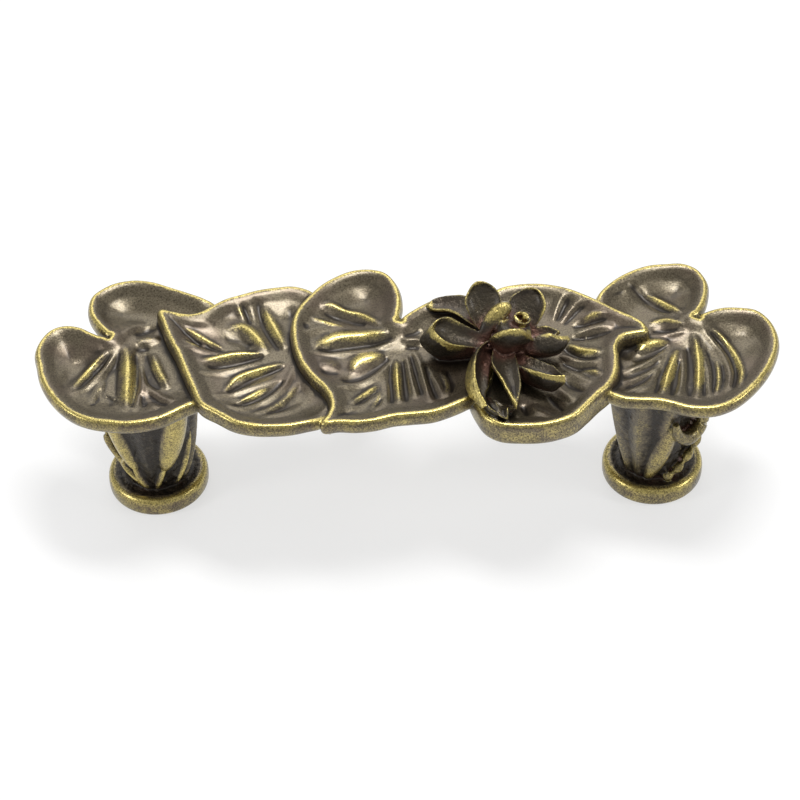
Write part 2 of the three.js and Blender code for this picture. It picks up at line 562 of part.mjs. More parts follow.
// The open lily: petals from root to tip as half widths along a spine, round a wrapped bud.
const FLOWER = [15.8 * SPREAD, 1.0, LEAF_HEIGHT];
const PETALS = [
  {
    spine: [[-2.2, -0.9, 1.6], [-5.5, -1.1, 2.4], [-9.0, -0.9, 3.5], [-11.6, -0.6, 5.4]],
    halves: [1.5, 2.4, 3.0, 2.7], facing: [0.1, -0.25, 1.0], cup: 0.66, under: 2.4,
  },
  {
    spine: [[-2.4, 1.4, 1.6], [-6.3, 4.9, 2.2], [-9.4, 6.7, 2.0], [-11.6, 7.3, 1.2]],
    halves: [1.6, 2.4, 2.2, 1.5], facing: [-0.1, -0.3, 1.0], cup: 0.15, under: 1.2,
  },
  {
    spine: [[-2.0, 1.4, 1.4], [-3.5, 4.4, 3.4], [-4.5, 6.5, 5.7], [-4.8, 7.3, 6.9]],
    halves: [1.6, 2.6, 2.7, 2.1], facing: [0.1, -0.75, 0.65], cup: 0.3, under: 0.9,
  },
  {
    spine: [[1.4, 1.6, 1.4], [3.0, 4.3, 3.2], [3.9, 6.1, 4.7], [4.1, 7.0, 5.6]],
    halves: [1.3, 2.4, 2.5, 2.0], facing: [-0.15, -0.75, 0.65], cup: 0.35, under: 0.9,
  },
  {
    spine: [[-2.6, -0.6, 1.4], [-3.3, 0.2, 3.0], [-2.0, 1.9, 4.9], [1.4, 2.3, 6.2]],
    halves: [1.1, 1.9, 1.9, 1.4], facing: [0.7, 0.3, -0.3], cup: 0.45, under: 1.1,
  },
  {
    spine: [[0.3, -1.0, 1.0], [0.2, -2.9, 2.4], [1.0, -2.9, 4.0], [2.4, -2.0, 5.2]],
    halves: [1.7, 2.8, 2.7, 2.3], facing: [0.1, 0.8, 0.4], cup: 0.35, under: 0.8,
  },
  {
    spine: [[2.2, -1.4, 1.2], [4.8, -1.7, 1.8], [7.2, -1.6, 2.2], [9.4, -1.5, 3.4]],
    halves: [1.4, 2.3, 2.4, 1.3], facing: [-0.25, 0.9, 0.35], cup: 0.35, under: 0.9, pointed: true,
  },
  {
    spine: [[2.2, 0.4, 1.4], [4.6, 1.2, 2.0], [6.9, 2.0, 2.6]],
    halves: [1.0, 1.6, 1.2], facing: [0.0, -0.2, 1.0], cup: 0.35, under: 0.8, pointed: true,
  },
  {
    spine: [[0.4, -3.4, 1.3], [3.0, -5.6, 1.9], [5.6, -7.5, 2.3], [8.0, -9.8, 3.2]],
    halves: [1.6, 2.5, 2.5, 1.3], facing: [0.1, 0.35, 0.95], cup: 0.5, under: 1.9, pointed: true,
  },
  {
    spine: [[-0.6, -2.6, 1.8], [-0.4, -6.6, 2.8], [0.1, -10.6, 2.9], [0.8, -14.4, 2.3]],
    halves: [1.7, 2.3, 1.8, 0.7], facing: [0.1, 0.0, 1.0], cup: 0.45, under: 1.5, pointed: true,
  },
  {
    spine: [[-2.8, -1.8, 1.6], [-4.6, -5.6, 2.4], [-5.2, -10.0, 2.6], [-4.0, -14.4, 1.9]],
    halves: [1.3, 2.0, 2.0, 0.8], facing: [0.85, -0.1, 0.55], cup: 0.5, under: 1.6, pointed: true,
  },
];

function flower() {
  const [fx, fy, fz] = FLOWER;
  const seat = turned([[0, -1.6], [4.6, -1.6], [4.4, 0.4], [3.6, 1.5], [2.4, 2.4], [0, 2.6]], 16);
  const bud = turned([[0, 0], [1.6, 0.1], [2.5, 1.0], [2.6, 3.0], [2.0, 3.8], [0, 3.8]], 12);
  bud.rotateX(THREE.MathUtils.degToRad(-8)).rotateY(THREE.MathUtils.degToRad(10)).translate(0.5, -0.7, 0.8);
  const curl = turned([[0, 0], [1.0, 0.1], [1.2, 2.4], [1.0, 2.8], [0.7, 2.7], [0.6, 1.6], [0, 1.5]], 10);
  curl.rotateX(THREE.MathUtils.degToRad(6)).rotateY(THREE.MathUtils.degToRad(14)).translate(1.9, 0.7, 2.8);
  const petals = PETALS.map((row) => petal(row));
  return [solidOf(seat), solidOf(bud), solidOf(curl), ...petals].map((part) => part.translate([fx, fy, fz]));
}

// The metal is sound throughout: specks of air shut in where petals cross are filled.
function soundMetal(body) {
  return body.decompose().reduce((most, part) => (part.volume() > most.volume() ? part : most));
}

function casting() {
  let body = wasm.Manifold.union([...PADS.map(padSolid), ...flower(), ...leftPost(), ...rightPost()]);
  body = body.subtract(screwHole(-CENTRES / 2)).subtract(screwHole(CENTRES / 2));
  return soundMetal(body.simplify(0.03));
}

function geometryOf(solid) {
  const mesh = solid.getMesh();
  const geometry = new THREE.BufferGeometry();
  geometry.setAttribute('position', new THREE.Float32BufferAttribute(mesh.vertProperties, 3));
  geometry.setIndex(new THREE.Uint32BufferAttribute(mesh.triVerts, 1));
  return geometry;
}

const agedBrass = new THREE.MeshStandardMaterial({ color: 0x6b5c3e, roughness: 0.42, metalness: 0.9 });

const geometry = geometryOf(casting());
geometry.computeBoundingBox();
const centre = geometry.boundingBox.getCenter(new THREE.Vector3());
geometry.translate(-centre.x, -centre.y, 0);
geometry.computeVertexNormals();

const pull = new THREE.Mesh(geometry, agedBrass);
pull.name = 'lily_pad_pull';

const group = new THREE.Group();
group.name = 'lily_pad_drawer_pull';
group.add(pull);

export default group;
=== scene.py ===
import math
import bpy
import numpy as np
from mathutils import Matrix, Vector
from mathutils.bvhtree import BVHTree
from mathutils.kdtree import KDTree


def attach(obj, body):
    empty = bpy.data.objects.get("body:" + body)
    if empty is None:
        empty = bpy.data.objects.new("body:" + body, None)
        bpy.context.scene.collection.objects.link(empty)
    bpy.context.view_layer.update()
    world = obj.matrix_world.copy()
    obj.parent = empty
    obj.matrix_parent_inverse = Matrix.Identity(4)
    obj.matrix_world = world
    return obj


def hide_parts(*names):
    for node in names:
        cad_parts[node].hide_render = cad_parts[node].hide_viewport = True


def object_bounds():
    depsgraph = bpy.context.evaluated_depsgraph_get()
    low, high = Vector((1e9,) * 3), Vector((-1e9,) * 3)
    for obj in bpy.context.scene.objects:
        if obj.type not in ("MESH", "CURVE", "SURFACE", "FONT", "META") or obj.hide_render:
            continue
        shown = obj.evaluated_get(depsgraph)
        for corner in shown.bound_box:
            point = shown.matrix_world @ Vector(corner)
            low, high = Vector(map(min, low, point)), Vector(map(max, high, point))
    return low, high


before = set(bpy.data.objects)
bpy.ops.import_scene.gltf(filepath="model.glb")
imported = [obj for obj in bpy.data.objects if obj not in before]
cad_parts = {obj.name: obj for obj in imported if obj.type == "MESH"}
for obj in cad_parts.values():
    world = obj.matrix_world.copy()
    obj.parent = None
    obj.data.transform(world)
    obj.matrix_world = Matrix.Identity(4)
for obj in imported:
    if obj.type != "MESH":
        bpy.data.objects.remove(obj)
frame_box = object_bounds()


# The camera stands in front of the pull and looks down at it from forty-five degrees, with
# the slight turn and roll that the photograph has.
camera_data = bpy.data.cameras.new("camera")
camera_data.sensor_width = 36.0
camera_data.lens = 113.75
camera = bpy.data.objects.new("camera", camera_data)
bpy.context.collection.objects.link(camera)
turn = Matrix.Rotation(math.radians(1.5), 4, "Z")
look_down = Matrix.Rotation(math.radians(45.0), 4, "X")
roll = Matrix.Rotation(math.radians(-2.3), 4, "Z")
aim = Vector((-0.0011, -0.00145, 0.0165))
distance = 0.380
facing = turn @ look_down @ roll
camera.matrix_world = Matrix.Translation(aim + facing @ Vector((0, 0, distance))) @ facing
bpy.context.scene.camera = camera


# Five lily pads make the bar, modelled in wax with a thick edge, a raised rim and a dished face, folded out
# from the stalk. Millimetres from between the feet; an outline's third number is the dip under a neighbour.
# A fold is (height, half width, brass shown, points from the stalk), a hollow (x, y from it, radius, depth).
pad_height = 26.0
edge_bulge = 0.55
rim_round = 0.75
wall_foot = 1.2
wall_brass = 0.36

pads = {
    "left_end": {
        "stalk": (-41.0, 5.1), "middle": (-39.0, 0.1), "lift": 0.0, "tilt": (0.0, 0.03), "depth": 3.1,
        "outline": [
            (-43.2, 5.3), (-44.5, 5.1), (-46.4, 6.0), (-48.3, 7.2), (-50.4, 7.6), (-52.2, 6.9),
            (-53.5, 4.9), (-54.0, 2.5), (-53.5, 0.1), (-52.8, -2.8), (-51.4, -5.8), (-49.4, -8.5),
            (-47.2, -10.4), (-44.8, -11.5), (-41.8, -12.1), (-39.7, -12.3), (-37.0, -12.0),
            (-34.8, -11.3), (-32.8, -10.1), (-31.1, -9.0), (-29.4, -8.0, -0.3), (-28.2, -5.5, -1.3),
            (-28.0, -2.0, -1.3), (-28.0, 2.0, -1.3), (-27.8, 6.0, -1.3), (-27.2, 9.5, -1.3),
            (-28.3, 11.9, -0.4), (-30.0, 12.9), (-32.5, 14.2), (-35.5, 15.6), (-38.0, 16.7),
            (-40.8, 17.1), (-43.6, 16.5), (-45.5, 15.2), (-46.5, 14.0), (-46.8, 12.3), (-46.6, 10.5),
            (-45.4, 8.2), (-43.9, 6.3)],
        "folds": [
            (0.55, 0.55, 0.9, (-2.8, -2.2), (-5.1, -5.0), (-7.4, -9.2)),
            (-0.55, 0.45, 0, (-2.2, -2.6), (-4.6, -6.1), (-6.6, -9.7)),
            (0.45, 0.6, 0, (-1.2, -2.2), (-3.9, -6.7), (-7.3, -10.7)),
            (-0.6, 0.8, 0, (-1.0, -2.2), (-1.7, -7.2), (-1.5, -12.8)),
            (0.35, 0.5, 0.3, (-2.8, -7.5), (-3.6, -9.6), (-4.2, -12.4)),
            (-0.3, 0.35, 0, (-3.3, -8.8), (-3.7, -11.6), (-4.5, -13.0)),
            (0.8, 1.15, 0.8, (-0.0, -1.0), (0.7, -6.8), (1.0, -14.1)),
            (-0.65, 0.6, 0, (1.4, -1.9), (1.9, -6.9), (1.6, -13.3)),
            (0.45, 0.55, 0, (2.3, -4.0), (2.9, -9.1), (2.1, -14.3)),
            (-0.6, 0.75, 0, (2.9, -1.9), (3.7, -6.1), (5.3, -9.6)),
            (0.5, 0.65, 0.6, (3.9, -2.0), (4.9, -5.7), (6.7, -9.1)),
            (0.35, 0.6, 0, (3.2, -8.5), (5.7, -11.2), (7.8, -12.5)),
            (-0.4, 0.4, 0, (3.9, -10.6), (5.5, -12.4), (7.0, -13.3)),
            (0.35, 0.7, 0, (4.3, -12.2), (5.3, -14.2)),
            (-0.4, 0.4, 0, (2.8, -10.2), (3.6, -13.2)), (0.5, 0.7, 0.3, (1.4, -0.0), (3.1, 0.6), (4.9, 0.9)),
            (-0.35, 0.5, 0, (1.2, -1.5), (3.5, -0.9)), (0.45, 0.8, 0.1, (-0.5, 1.1), (0.4, 3.4), (2.6, 4.2)),
            (-0.45, 0.6, 0, (1.0, 1.5), (2.7, 2.7), (4.2, 3.3)),
            (-0.45, 1.0, 0, (-1.4, -1.0), (-5.0, -2.1), (-7.7, -6.2), (-9.1, -9.8))],
        "hollows": [(-8.6, -3.4, 3.0, 0.4), (-1.2, 7.2, 3.6, 0.6)],
    },
    "pointed": {
        "stalk": (-17.1, 1.0), "middle": (-20.0, 0.0), "lift": 0.6, "tilt": (-0.03, 0.02), "depth": 2.9,
        "outline": [
            (-36.0, 9.5), (-35.3, 7.0), (-34.2, 3.7), (-32.7, 0.3), (-31.5, -3.2), (-30.2, -6.6),
            (-28.9, -9.8), (-26.4, -11.7), (-24.0, -13.4), (-21.4, -14.2), (-18.6, -14.4), (-15.9, -14.2),
            (-13.5, -13.6), (-11.6, -13.0, -0.3), (-9.6, -11.2, -1.3), (-8.6, -8.0, -1.3),
            (-9.0, -4.5, -1.3), (-11.2, -1.0, -1.3), (-12.4, 3.0, -1.3), (-12.4, 7.0, -1.3),
            (-11.8, 10.4, -1.3), (-13.3, 13.4, -0.4), (-16.1, 14.4), (-18.6, 14.2), (-21.5, 13.6),
            (-24.3, 12.5), (-26.2, 11.7), (-28.0, 10.4), (-29.9, 8.9), (-31.8, 8.4), (-34.1, 8.9)],
        "folds": [
            (0.55, 0.5, 1, (-3.2, 0.8), (-8.2, 0.2), (-12.7, -1.3)),
            (-0.75, 0.55, 0, (-3.1, 0.2), (-7.4, -1.3), (-11.6, -2.3)),
            (0.4, 0.6, 0, (-3.4, -0.9), (-8.8, -3.2), (-12.6, -4.0)),
            (0.55, 0.5, 1, (0.0, -1.3), (-3.9, -3.0), (-7.2, -4.8), (-8.7, -7.5)),
            (-0.7, 0.5, 0, (-0.1, -2.1), (-5.0, -4.8), (-8.4, -7.7)),
            (0.4, 0.6, 0, (-0.5, -4.4), (-5.0, -6.6), (-10.1, -8.7)),
            (0.4, 0.35, 1, (-2.2, -6.4), (-4.6, -8.1), (-6.7, -9.5)),
            (-0.65, 0.5, 0, (-0.0, -5.0), (-4.0, -8.9), (-7.6, -10.3)),
            (0.45, 0.6, 0, (1.2, -1.9), (-0.1, -6.4), (-3.1, -9.3), (-6.5, -11.1), (-8.6, -10.1)),
            (0.45, 0.5, 0.4, (2.0, -5.2), (0.4, -8.7), (-1.9, -10.9), (-4.2, -11.9)),
            (-0.5, 0.45, 0, (2.5, -6.6), (0.5, -10.1), (-2.4, -12.1)),
            (0.35, 0.7, 0, (2.9, -5.0), (3.7, -8.3), (0.3, -11.5), (-3.0, -12.9)),
            (0.6, 0.8, 0.8, (-9.2, 5.7), (-6.6, 6.1), (-4.6, 4.0), (-2.6, 0.8)),
            (-0.5, 0.9, 0, (-9.2, 4.0), (-6.5, 3.3), (-4.1, 0.8)), (0.3, 0.5, 0, (-5.6, 2.5), (-3.5, 1.0)),
            (0.6, 0.75, 0.8, (-3.8, 10.2), (-2.3, 6.7), (-0.1, 1.6)),
            (-0.5, 0.7, 0, (-4.7, 11.5), (-3.2, 6.3), (-1.0, 1.2)),
            (0.35, 0.35, 0.8, (-15.9, 5.7), (-12.8, 3.8), (-9.1, 1.6)),
            (-0.4, 0.4, 0, (-15.5, 4.6), (-12.4, 2.5), (-9.4, 1.0)),
            (0.35, 0.4, 0.6, (-15.4, 2.7), (-12.7, 1.6)),
            (-0.35, 0.4, 0, (-15.2, 3.3), (-12.0, 2.1)),
            (0.35, 0.5, 0, (-15.5, 1.6), (-11.9, 0.8), (-9.4, 0.8)),
            (0.3, 0.4, 0.5, (-7.6, 10.2), (-6.1, 7.2)), (-0.35, 0.5, 0, (-6.8, 10.4), (-5.3, 6.7)),
            (-0.4, 0.9, 0, (0.4, 10.4), (0.9, 4.0)), (0.3, 1.0, 0, (-1.9, 13.2), (-5.7, 12.4), (-9.8, 10.2)),
            (0.3, 0.7, 0, (-17.2, 7.6), (-14.5, 6.7), (-10.7, 6.1))],
        "hollows": [(-9.0, 8.2, 1.8, 0.3), (2.2, -9.0, 2.4, 0.4)],
    },
    "under_flower": {
        "stalk": (17.7, 1.9), "middle": (20.0, 0.0), "lift": 0.6, "tilt": (0.02, 0.02), "depth": 4.6,
        "outline": [
            (36.3, 3.1), (35.9, 4.6), (34.5, 6.0), (32.2, 7.6), (29.8, 9.5), (27.4, 11.2), (25.0, 12.6),
            (21.3, 13.7), (17.5, 13.7), (14.7, 12.8), (12.0, 10.2, -0.8), (10.8, 6.5, -1.3),
            (10.2, 2.0, -1.3), (10.0, -3.0, -1.3), (10.2, -7.5, -1.0), (11.3, -11.2), (12.5, -13.5),
            (14.4, -14.8), (17.1, -15.2), (20.1, -15.2), (22.4, -14.7), (24.8, -13.6), (26.7, -11.6),
            (28.5, -9.4), (30.3, -7.4), (31.4, -4.9), (31.6, -2.2), (31.7, 0.4), (32.8, 2.2), (34.8, 2.8)],
        "folds": [
            (0.35, 0.5, 0, (5.0, 5.3), (6.3, 8.7), (7.5, 10.8)),
            (-0.35, 0.45, 0, (5.7, 5.3), (7.2, 8.4), (8.8, 10.3)),
            (0.3, 0.45, 0, (6.1, 4.8), (8.4, 7.7), (10.3, 9.2)),
            (-0.3, 0.4, 0, (6.6, 4.4), (9.2, 7.0), (11.4, 8.2)),
            (0.4, 0.5, 0.6, (9.4, 4.7), (11.0, 5.5), (13.0, 5.6)),
            (-0.4, 0.45, 0, (7.9, 3.9), (10.6, 4.4), (13.3, 4.7)),
            (0.5, 0.7, 0, (8.1, 2.4), (10.8, 3.1), (14.2, 3.1)),
            (-0.45, 0.5, 0, (7.5, 1.4), (10.4, 1.7), (13.7, 2.1)),
            (0.6, 0.65, 0.9, (7.1, 0.3), (9.2, -1.4), (12.0, -2.4)),
            (-0.5, 0.5, 0, (6.2, -0.4), (8.8, -2.5), (11.3, -3.4)),
            (0.45, 0.6, 0, (5.8, -1.9), (9.0, -3.5), (11.6, -4.0)),
            (-0.45, 0.5, 0, (6.0, -3.6), (8.6, -4.9), (11.2, -5.3)),
            (0.4, 0.45, 0.6, (8.6, -5.1), (10.3, -5.8), (11.7, -7.1)),
            (0.4, 0.6, 0, (6.0, -5.0), (8.5, -6.8), (9.9, -8.3)),
            (-0.4, 0.5, 0, (5.9, -6.8), (7.8, -9.0), (8.9, -10.2)),
            (0.4, 0.6, 0, (5.0, -8.0), (6.6, -10.5), (7.4, -12.2)),
            (-0.35, 0.4, 0, (3.7, -10.0), (5.1, -12.5), (5.8, -14.1)),
            (0.4, 0.6, 0.2, (1.0, -11.9), (2.4, -13.9), (4.1, -15.4)),
            (-0.4, 0.5, 0, (-0.1, -11.8), (0.6, -14.6)),
            (0.3, 0.4, 0, (-1.6, -12.9), (-0.8, -15.2)),
            (0.35, 0.6, 0.1, (-4.2, -10.8), (-2.5, -12.1), (-0.7, -11.8)),
            (-0.4, 0.5, 0, (-4.5, -12.0), (-2.8, -13.5), (-1.1, -13.4)),
            (0.3, 0.4, 0.2, (-3.7, -13.6), (-2.3, -14.9))],
        "hollows": [(1.5, 9.0, 2.4, 0.4)],
    },
    "centre": {
        "stalk": (-0.5, 3.7), "middle": (-2.0, -3.0), "lift": 1.2, "tilt": (0.0, 0.02), "depth": 3.1,
        "outline": [
            (-0.2, 5.9), (-0.5, 7.5), (-0.2, 10.0), (-0.5, 12.7), (-1.3, 14.8), (-2.6, 16.5), (-4.9, 17.2),
            (-7.4, 16.9), (-9.7, 15.7), (-11.8, 14.0), (-13.5, 11.8), (-15.0, 9.4), (-15.8, 6.4),
            (-15.7, 3.1), (-15.2, 0.4), (-14.2, -2.5), (-12.6, -5.2), (-11.1, -7.1), (-10.1, -9.1),
            (-9.8, -11.2), (-10.2, -12.7), (-11.1, -14.4), (-8.9, -14.2), (-6.5, -14.4), (-3.8, -14.1),
            (-1.1, -13.3), (1.7, -13.0), (4.5, -12.7), (7.2, -11.6), (9.3, -10.4), (11.4, -8.8, -0.4),
            (12.8, -5.0, -1.2), (13.4, 0.0, -1.2), (13.0, 5.0, -1.2), (12.0, 8.8, -0.8), (9.5, 11.1),
            (7.6, 11.0), (5.7, 10.5), (4.1, 9.6), (2.6, 8.5), (1.1, 7.2)],
        "folds": [
            (0.55, 0.5, 0.9, (-11.6, 6.7), (-9.9, 7.1), (-7.7, 6.0), (-5.3, 5.2), (-2.5, 2.2)),
            (-0.6, 0.6, 0, (-11.3, 5.7), (-7.8, 4.5), (-4.6, 3.1)),
            (0.4, 0.35, 0.8, (-13.0, 4.2), (-10.8, 3.5), (-7.5, 2.5)),
            (0.4, 0.9, 0, (-13.9, 0.8), (-11.2, 2.2), (-7.8, 1.9)),
            (-0.35, 0.5, 0, (-14.5, 3.4), (-13.3, 1.7)),
            (0.75, 0.95, 1, (-12.3, -2.2), (-9.8, 0.1), (-6.7, 0.6), (-1.3, 0.6)),
            (-0.65, 0.6, 0, (-11.9, -2.4), (-7.7, -1.5), (-3.7, -0.8), (-0.5, -0.2)),
            (0.4, 0.5, 0, (-13.0, -3.0), (-7.7, -2.9), (-3.7, -2.2), (-0.2, -0.9)),
            (0.75, 1.0, 1, (-6.9, -6.5), (-5.3, -4.5), (-1.9, -3.5)),
            (-0.7, 0.65, 0, (-8.4, -8.7), (-5.3, -7.8), (-2.5, -5.4), (-1.2, -3.8)),
            (0.45, 0.7, 0, (-8.9, -10.5), (-5.1, -9.0), (-2.1, -6.2), (-1.2, -4.6)),
            (0.4, 0.9, 0.3, (-11.4, -5.5), (-8.4, -5.4)), (-0.3, 0.6, 0, (-11.6, -7.2), (-8.4, -7.1)),
            (0.45, 0.4, 0.8, (-6.6, -13.6), (-4.7, -11.5), (-2.7, -9.5)),
            (0.4, 0.7, 0, (-7.7, -15.4), (-5.4, -13.9), (-2.5, -10.7)),
            (-0.35, 0.35, 0, (-6.3, -14.2), (-4.5, -12.5), (-2.8, -10.7)),
            (0.3, 0.3, 0.6, (-3.8, -14.7), (-2.9, -12.9), (-2.4, -11.1)),
            (0.35, 0.6, 0, (-1.6, -8.7), (-1.6, -12.0), (-3.4, -15.5)),
            (-0.35, 0.35, 0, (-2.4, -12.3), (-3.1, -14.5)),
            (-0.55, 0.5, 0, (-0.9, -5.0), (-0.9, -9.1), (-0.8, -13.6)),
            (0.65, 0.6, 0.9, (-0.2, -4.4), (-0.0, -9.2), (0.3, -13.6)),
            (-0.6, 0.5, 0, (0.9, -4.5), (1.1, -9.2), (1.4, -13.3)),
            (0.45, 0.6, 0, (1.2, -3.0), (2.0, -8.2), (2.7, -12.5)),
            (-0.55, 0.5, 0, (2.1, -3.5), (2.9, -8.2), (3.7, -11.7)),
            (0.5, 0.6, 0.2, (2.2, -2.0), (3.5, -6.8), (4.9, -13.8)),
            (-0.5, 0.5, 0, (4.0, -5.6), (4.9, -9.3), (5.8, -13.0)),
            (0.4, 0.55, 0, (4.8, -7.3), (6.0, -10.2), (6.8, -13.0)),
            (0.35, 0.3, 0.5, (6.4, -6.9), (7.3, -9.6), (7.1, -12.8)),
            (-0.35, 0.4, 0, (7.2, -6.5), (8.0, -9.4), (8.0, -11.8)),
            (0.35, 0.4, 0, (0.7, 1.0), (2.2, 2.9), (4.0, 4.1)), (-0.35, 0.5, 0, (1.0, -0.1), (3.7, 1.1)),
            (0.35, 0.4, 0, (0.7, -0.9), (4.3, -0.6)), (-0.35, 0.4, 0, (1.2, -2.0), (3.4, -2.0))],
        "hollows": [(-5.0, 9.2, 3.2, 0.7), (7.0, 3.6, 2.0, 0.4)],
    },
    "right_end": {
        "stalk": (43.1, 5.1), "middle": (39.0, -1.0), "lift": 0.0, "tilt": (0.0, 0.03), "depth": 2.9,
        "outline": [
            (44.1, 6.5), (44.3, 7.8), (45.3, 9.7), (45.9, 11.8), (46.1, 13.8), (45.7, 15.4), (44.8, 17.0),
            (42.9, 18.1), (40.6, 18.1), (38.1, 17.9), (35.9, 17.1), (33.7, 15.8), (31.9, 14.2),
            (30.5, 12.5), (29.6, 10.8, -0.4), (28.4, 8.0, -1.3), (28.2, 4.0, -1.3), (28.2, 0.0, -1.3),
            (28.4, -4.0, -1.3), (29.2, -7.2, -0.5), (30.5, -8.5), (32.4, -9.5), (34.5, -9.8), (36.7, -9.9),
            (38.8, -10.4), (41.2, -11.4), (43.5, -11.8), (45.7, -11.6), (48.1, -10.5), (50.2, -8.7),
            (52.4, -6.0), (53.9, -3.5), (55.0, -0.8), (55.5, 1.6), (55.3, 4.0), (54.5, 6.1), (53.0, 7.8),
            (50.9, 8.3), (48.6, 8.4), (46.7, 7.9), (44.9, 7.0)],
        "folds": [
            (0.6, 0.55, 0.9, (-6.1, 8.2), (-3.6, 6.4), (-0.9, 3.1)),
            (-0.55, 0.7, 0, (-8.5, 9.8), (-5.7, 6.9), (-2.3, 3.8)),
            (0.35, 0.5, 0, (-12.3, 8.4), (-9.5, 9.9), (-6.4, 10.4)),
            (-0.3, 0.45, 0, (-12.0, 7.1), (-9.3, 8.3)),
            (0.45, 0.45, 0.7, (-6.1, 1.8), (-3.7, 2.2), (-0.8, 0.6)),
            (-0.45, 0.4, 0, (-5.6, 0.3), (-3.7, 0.3), (-1.7, -0.0)),
            (0.4, 0.45, 0, (-6.3, -0.7), (-3.7, -0.8), (-0.6, -0.5)),
            (0.7, 0.8, 1, (-8.1, -4.2), (-6.4, -2.6), (-3.2, -2.1)),
            (-0.65, 0.6, 0, (-8.8, -5.8), (-5.9, -4.5), (-3.3, -2.7)),
            (0.45, 0.55, 0, (-10.6, -8.2), (-7.1, -6.7), (-4.8, -4.5), (-3.0, -2.7)),
            (-0.5, 0.8, 0, (-9.5, -2.9), (-9.7, -5.4)),
            (-0.45, 0.5, 0, (-10.4, -9.4), (-7.2, -7.9), (-4.9, -5.9)),
            (0.4, 0.5, 0, (-10.8, -10.6), (-8.0, -9.1), (-5.2, -7.0)),
            (-0.4, 0.4, 0, (-10.5, -11.9), (-7.8, -10.1), (-5.6, -8.2)),
            (0.4, 0.5, 0.1, (-10.6, -13.1), (-7.6, -11.1), (-5.0, -7.6)),
            (0.35, 0.5, 0, (-8.9, -13.1), (-6.7, -11.6), (-5.4, -9.6)),
            (-0.45, 0.5, 0, (-6.1, -13.4), (-4.8, -8.8), (-3.0, -4.8)),
            (0.75, 0.7, 1, (-5.0, -13.4), (-3.9, -9.2), (-2.0, -3.5)),
            (-0.55, 0.5, 0, (-3.7, -13.7), (-2.9, -9.3), (-1.9, -6.0)),
            (0.5, 0.5, 0.1, (-1.3, -3.6), (-1.8, -9.5), (-2.7, -13.7)),
            (-0.6, 0.55, 0, (-0.5, -3.2), (-0.5, -8.5), (-1.2, -13.7)),
            (0.75, 0.65, 1, (0.5, -1.1), (1.0, -5.7), (0.0, -14.2)),
            (-0.5, 0.45, 0, (1.5, -2.4), (1.5, -7.6), (1.0, -13.4)),
            (0.45, 0.5, 0, (1.6, -2.4), (2.0, -8.2), (1.7, -13.8)),
            (-0.5, 0.45, 0, (2.1, -3.7), (2.9, -8.2), (2.4, -12.7)),
            (0.45, 0.3, 0.8, (3.5, -5.8), (3.5, -9.7), (2.7, -13.5)),
            (-0.3, 0.35, 0, (4.2, -7.0), (4.1, -10.7)),
            (0.45, 0.55, 0, (1.9, -0.5), (4.3, -4.2), (5.3, -8.7), (4.4, -12.7)),
            (-0.6, 0.55, 0, (3.0, -0.6), (5.1, -3.6), (6.1, -7.9), (5.4, -12.3)),
            (0.5, 0.4, 0.9, (2.7, 0.3), (4.8, -1.5), (6.3, -5.0), (6.8, -9.2), (5.9, -13.2))],
        "hollows": [(8.0, -1.6, 2.8, 0.7), (-1.6, 9.0, 3.2, 0.7)],
    },
}

box_middle = np.array([0.75, 1.45, 0.0])
casting_points = []
casting_faces = []
casting_bright = []
casting_dark = []


def pour(points, faces, bright=None, dark=0.0):
    """Adds a closed form to the casting, with how brightly rubbed and how black its points are."""
    first = sum(len(part) for part in casting_points)
    casting_points.append(points)
    casting_bright.append(np.zeros(len(points)) if bright is None else np.asarray(bright, float))
    casting_dark.append(np.zeros(len(points)) + dark)
    casting_faces.extend([tuple(first + k for k in face) for face in faces])


def closed_skin(first_end, rings, last_end):
    """A closed skin over rings of points, drawn together to one point at each end."""
    count = rings.shape[1]
    points = np.vstack([first_end[None], rings.reshape(-1, 3), last_end[None]])
    faces = []
    for k in range(count):
        after = (k + 1) % count
        faces.append((0, 1 + after, 1 + k))
        for r in range(len(rings) - 1):
            a = 1 + r * count
            faces.append((a + k, a + after, a + count + after, a + count + k))
        last = 1 + (len(rings) - 1) * count
        faces.append((last + k, last + after, len(points) - 1))
    return points, faces


def smooth_line(points, steps, closed=False):
    """A flowing line through given points, with the same number of steps between each two."""
    p = np.array([tuple(q) + (0.0,) * (3 - len(q)) for q in points], float)
    if closed:
        p = np.vstack([p[-1:], p, p[:2]])
    else:
        p = np.vstack([2 * p[:1] - p[1:2], p, 2 * p[-1:] - p[-2:-1]])
    line = []
    for k in range(1, len(p) - 2):
        knots = np.cumsum([0] + [max(np.linalg.norm(p[k + j] - p[k + j - 1]), 1e-6) ** 0.5 for j in range(3)])
        t = np.linspace(knots[1], knots[2], steps, endpoint=False)[:, None]

        def blend(a, b, ka, kb):
            return a * (kb - t) / (kb - ka) + b * (t - ka) / (kb - ka)

        a1 = blend(p[k - 1], p[k], knots[0], knots[1])
        a2 = blend(p[k], p[k + 1], knots[1], knots[2])
        a3 = blend(p[k + 1], p[k + 2], knots[2], knots[3])
        b1 = blend(a1, a2, knots[0], knots[2])
        b2 = blend(a2, a3, knots[1], knots[3])
        line.append(blend(b1, b2, knots[1], knots[2]))
    if not closed:
        line.append(p[-2:-1])
    return np.vstack(line)


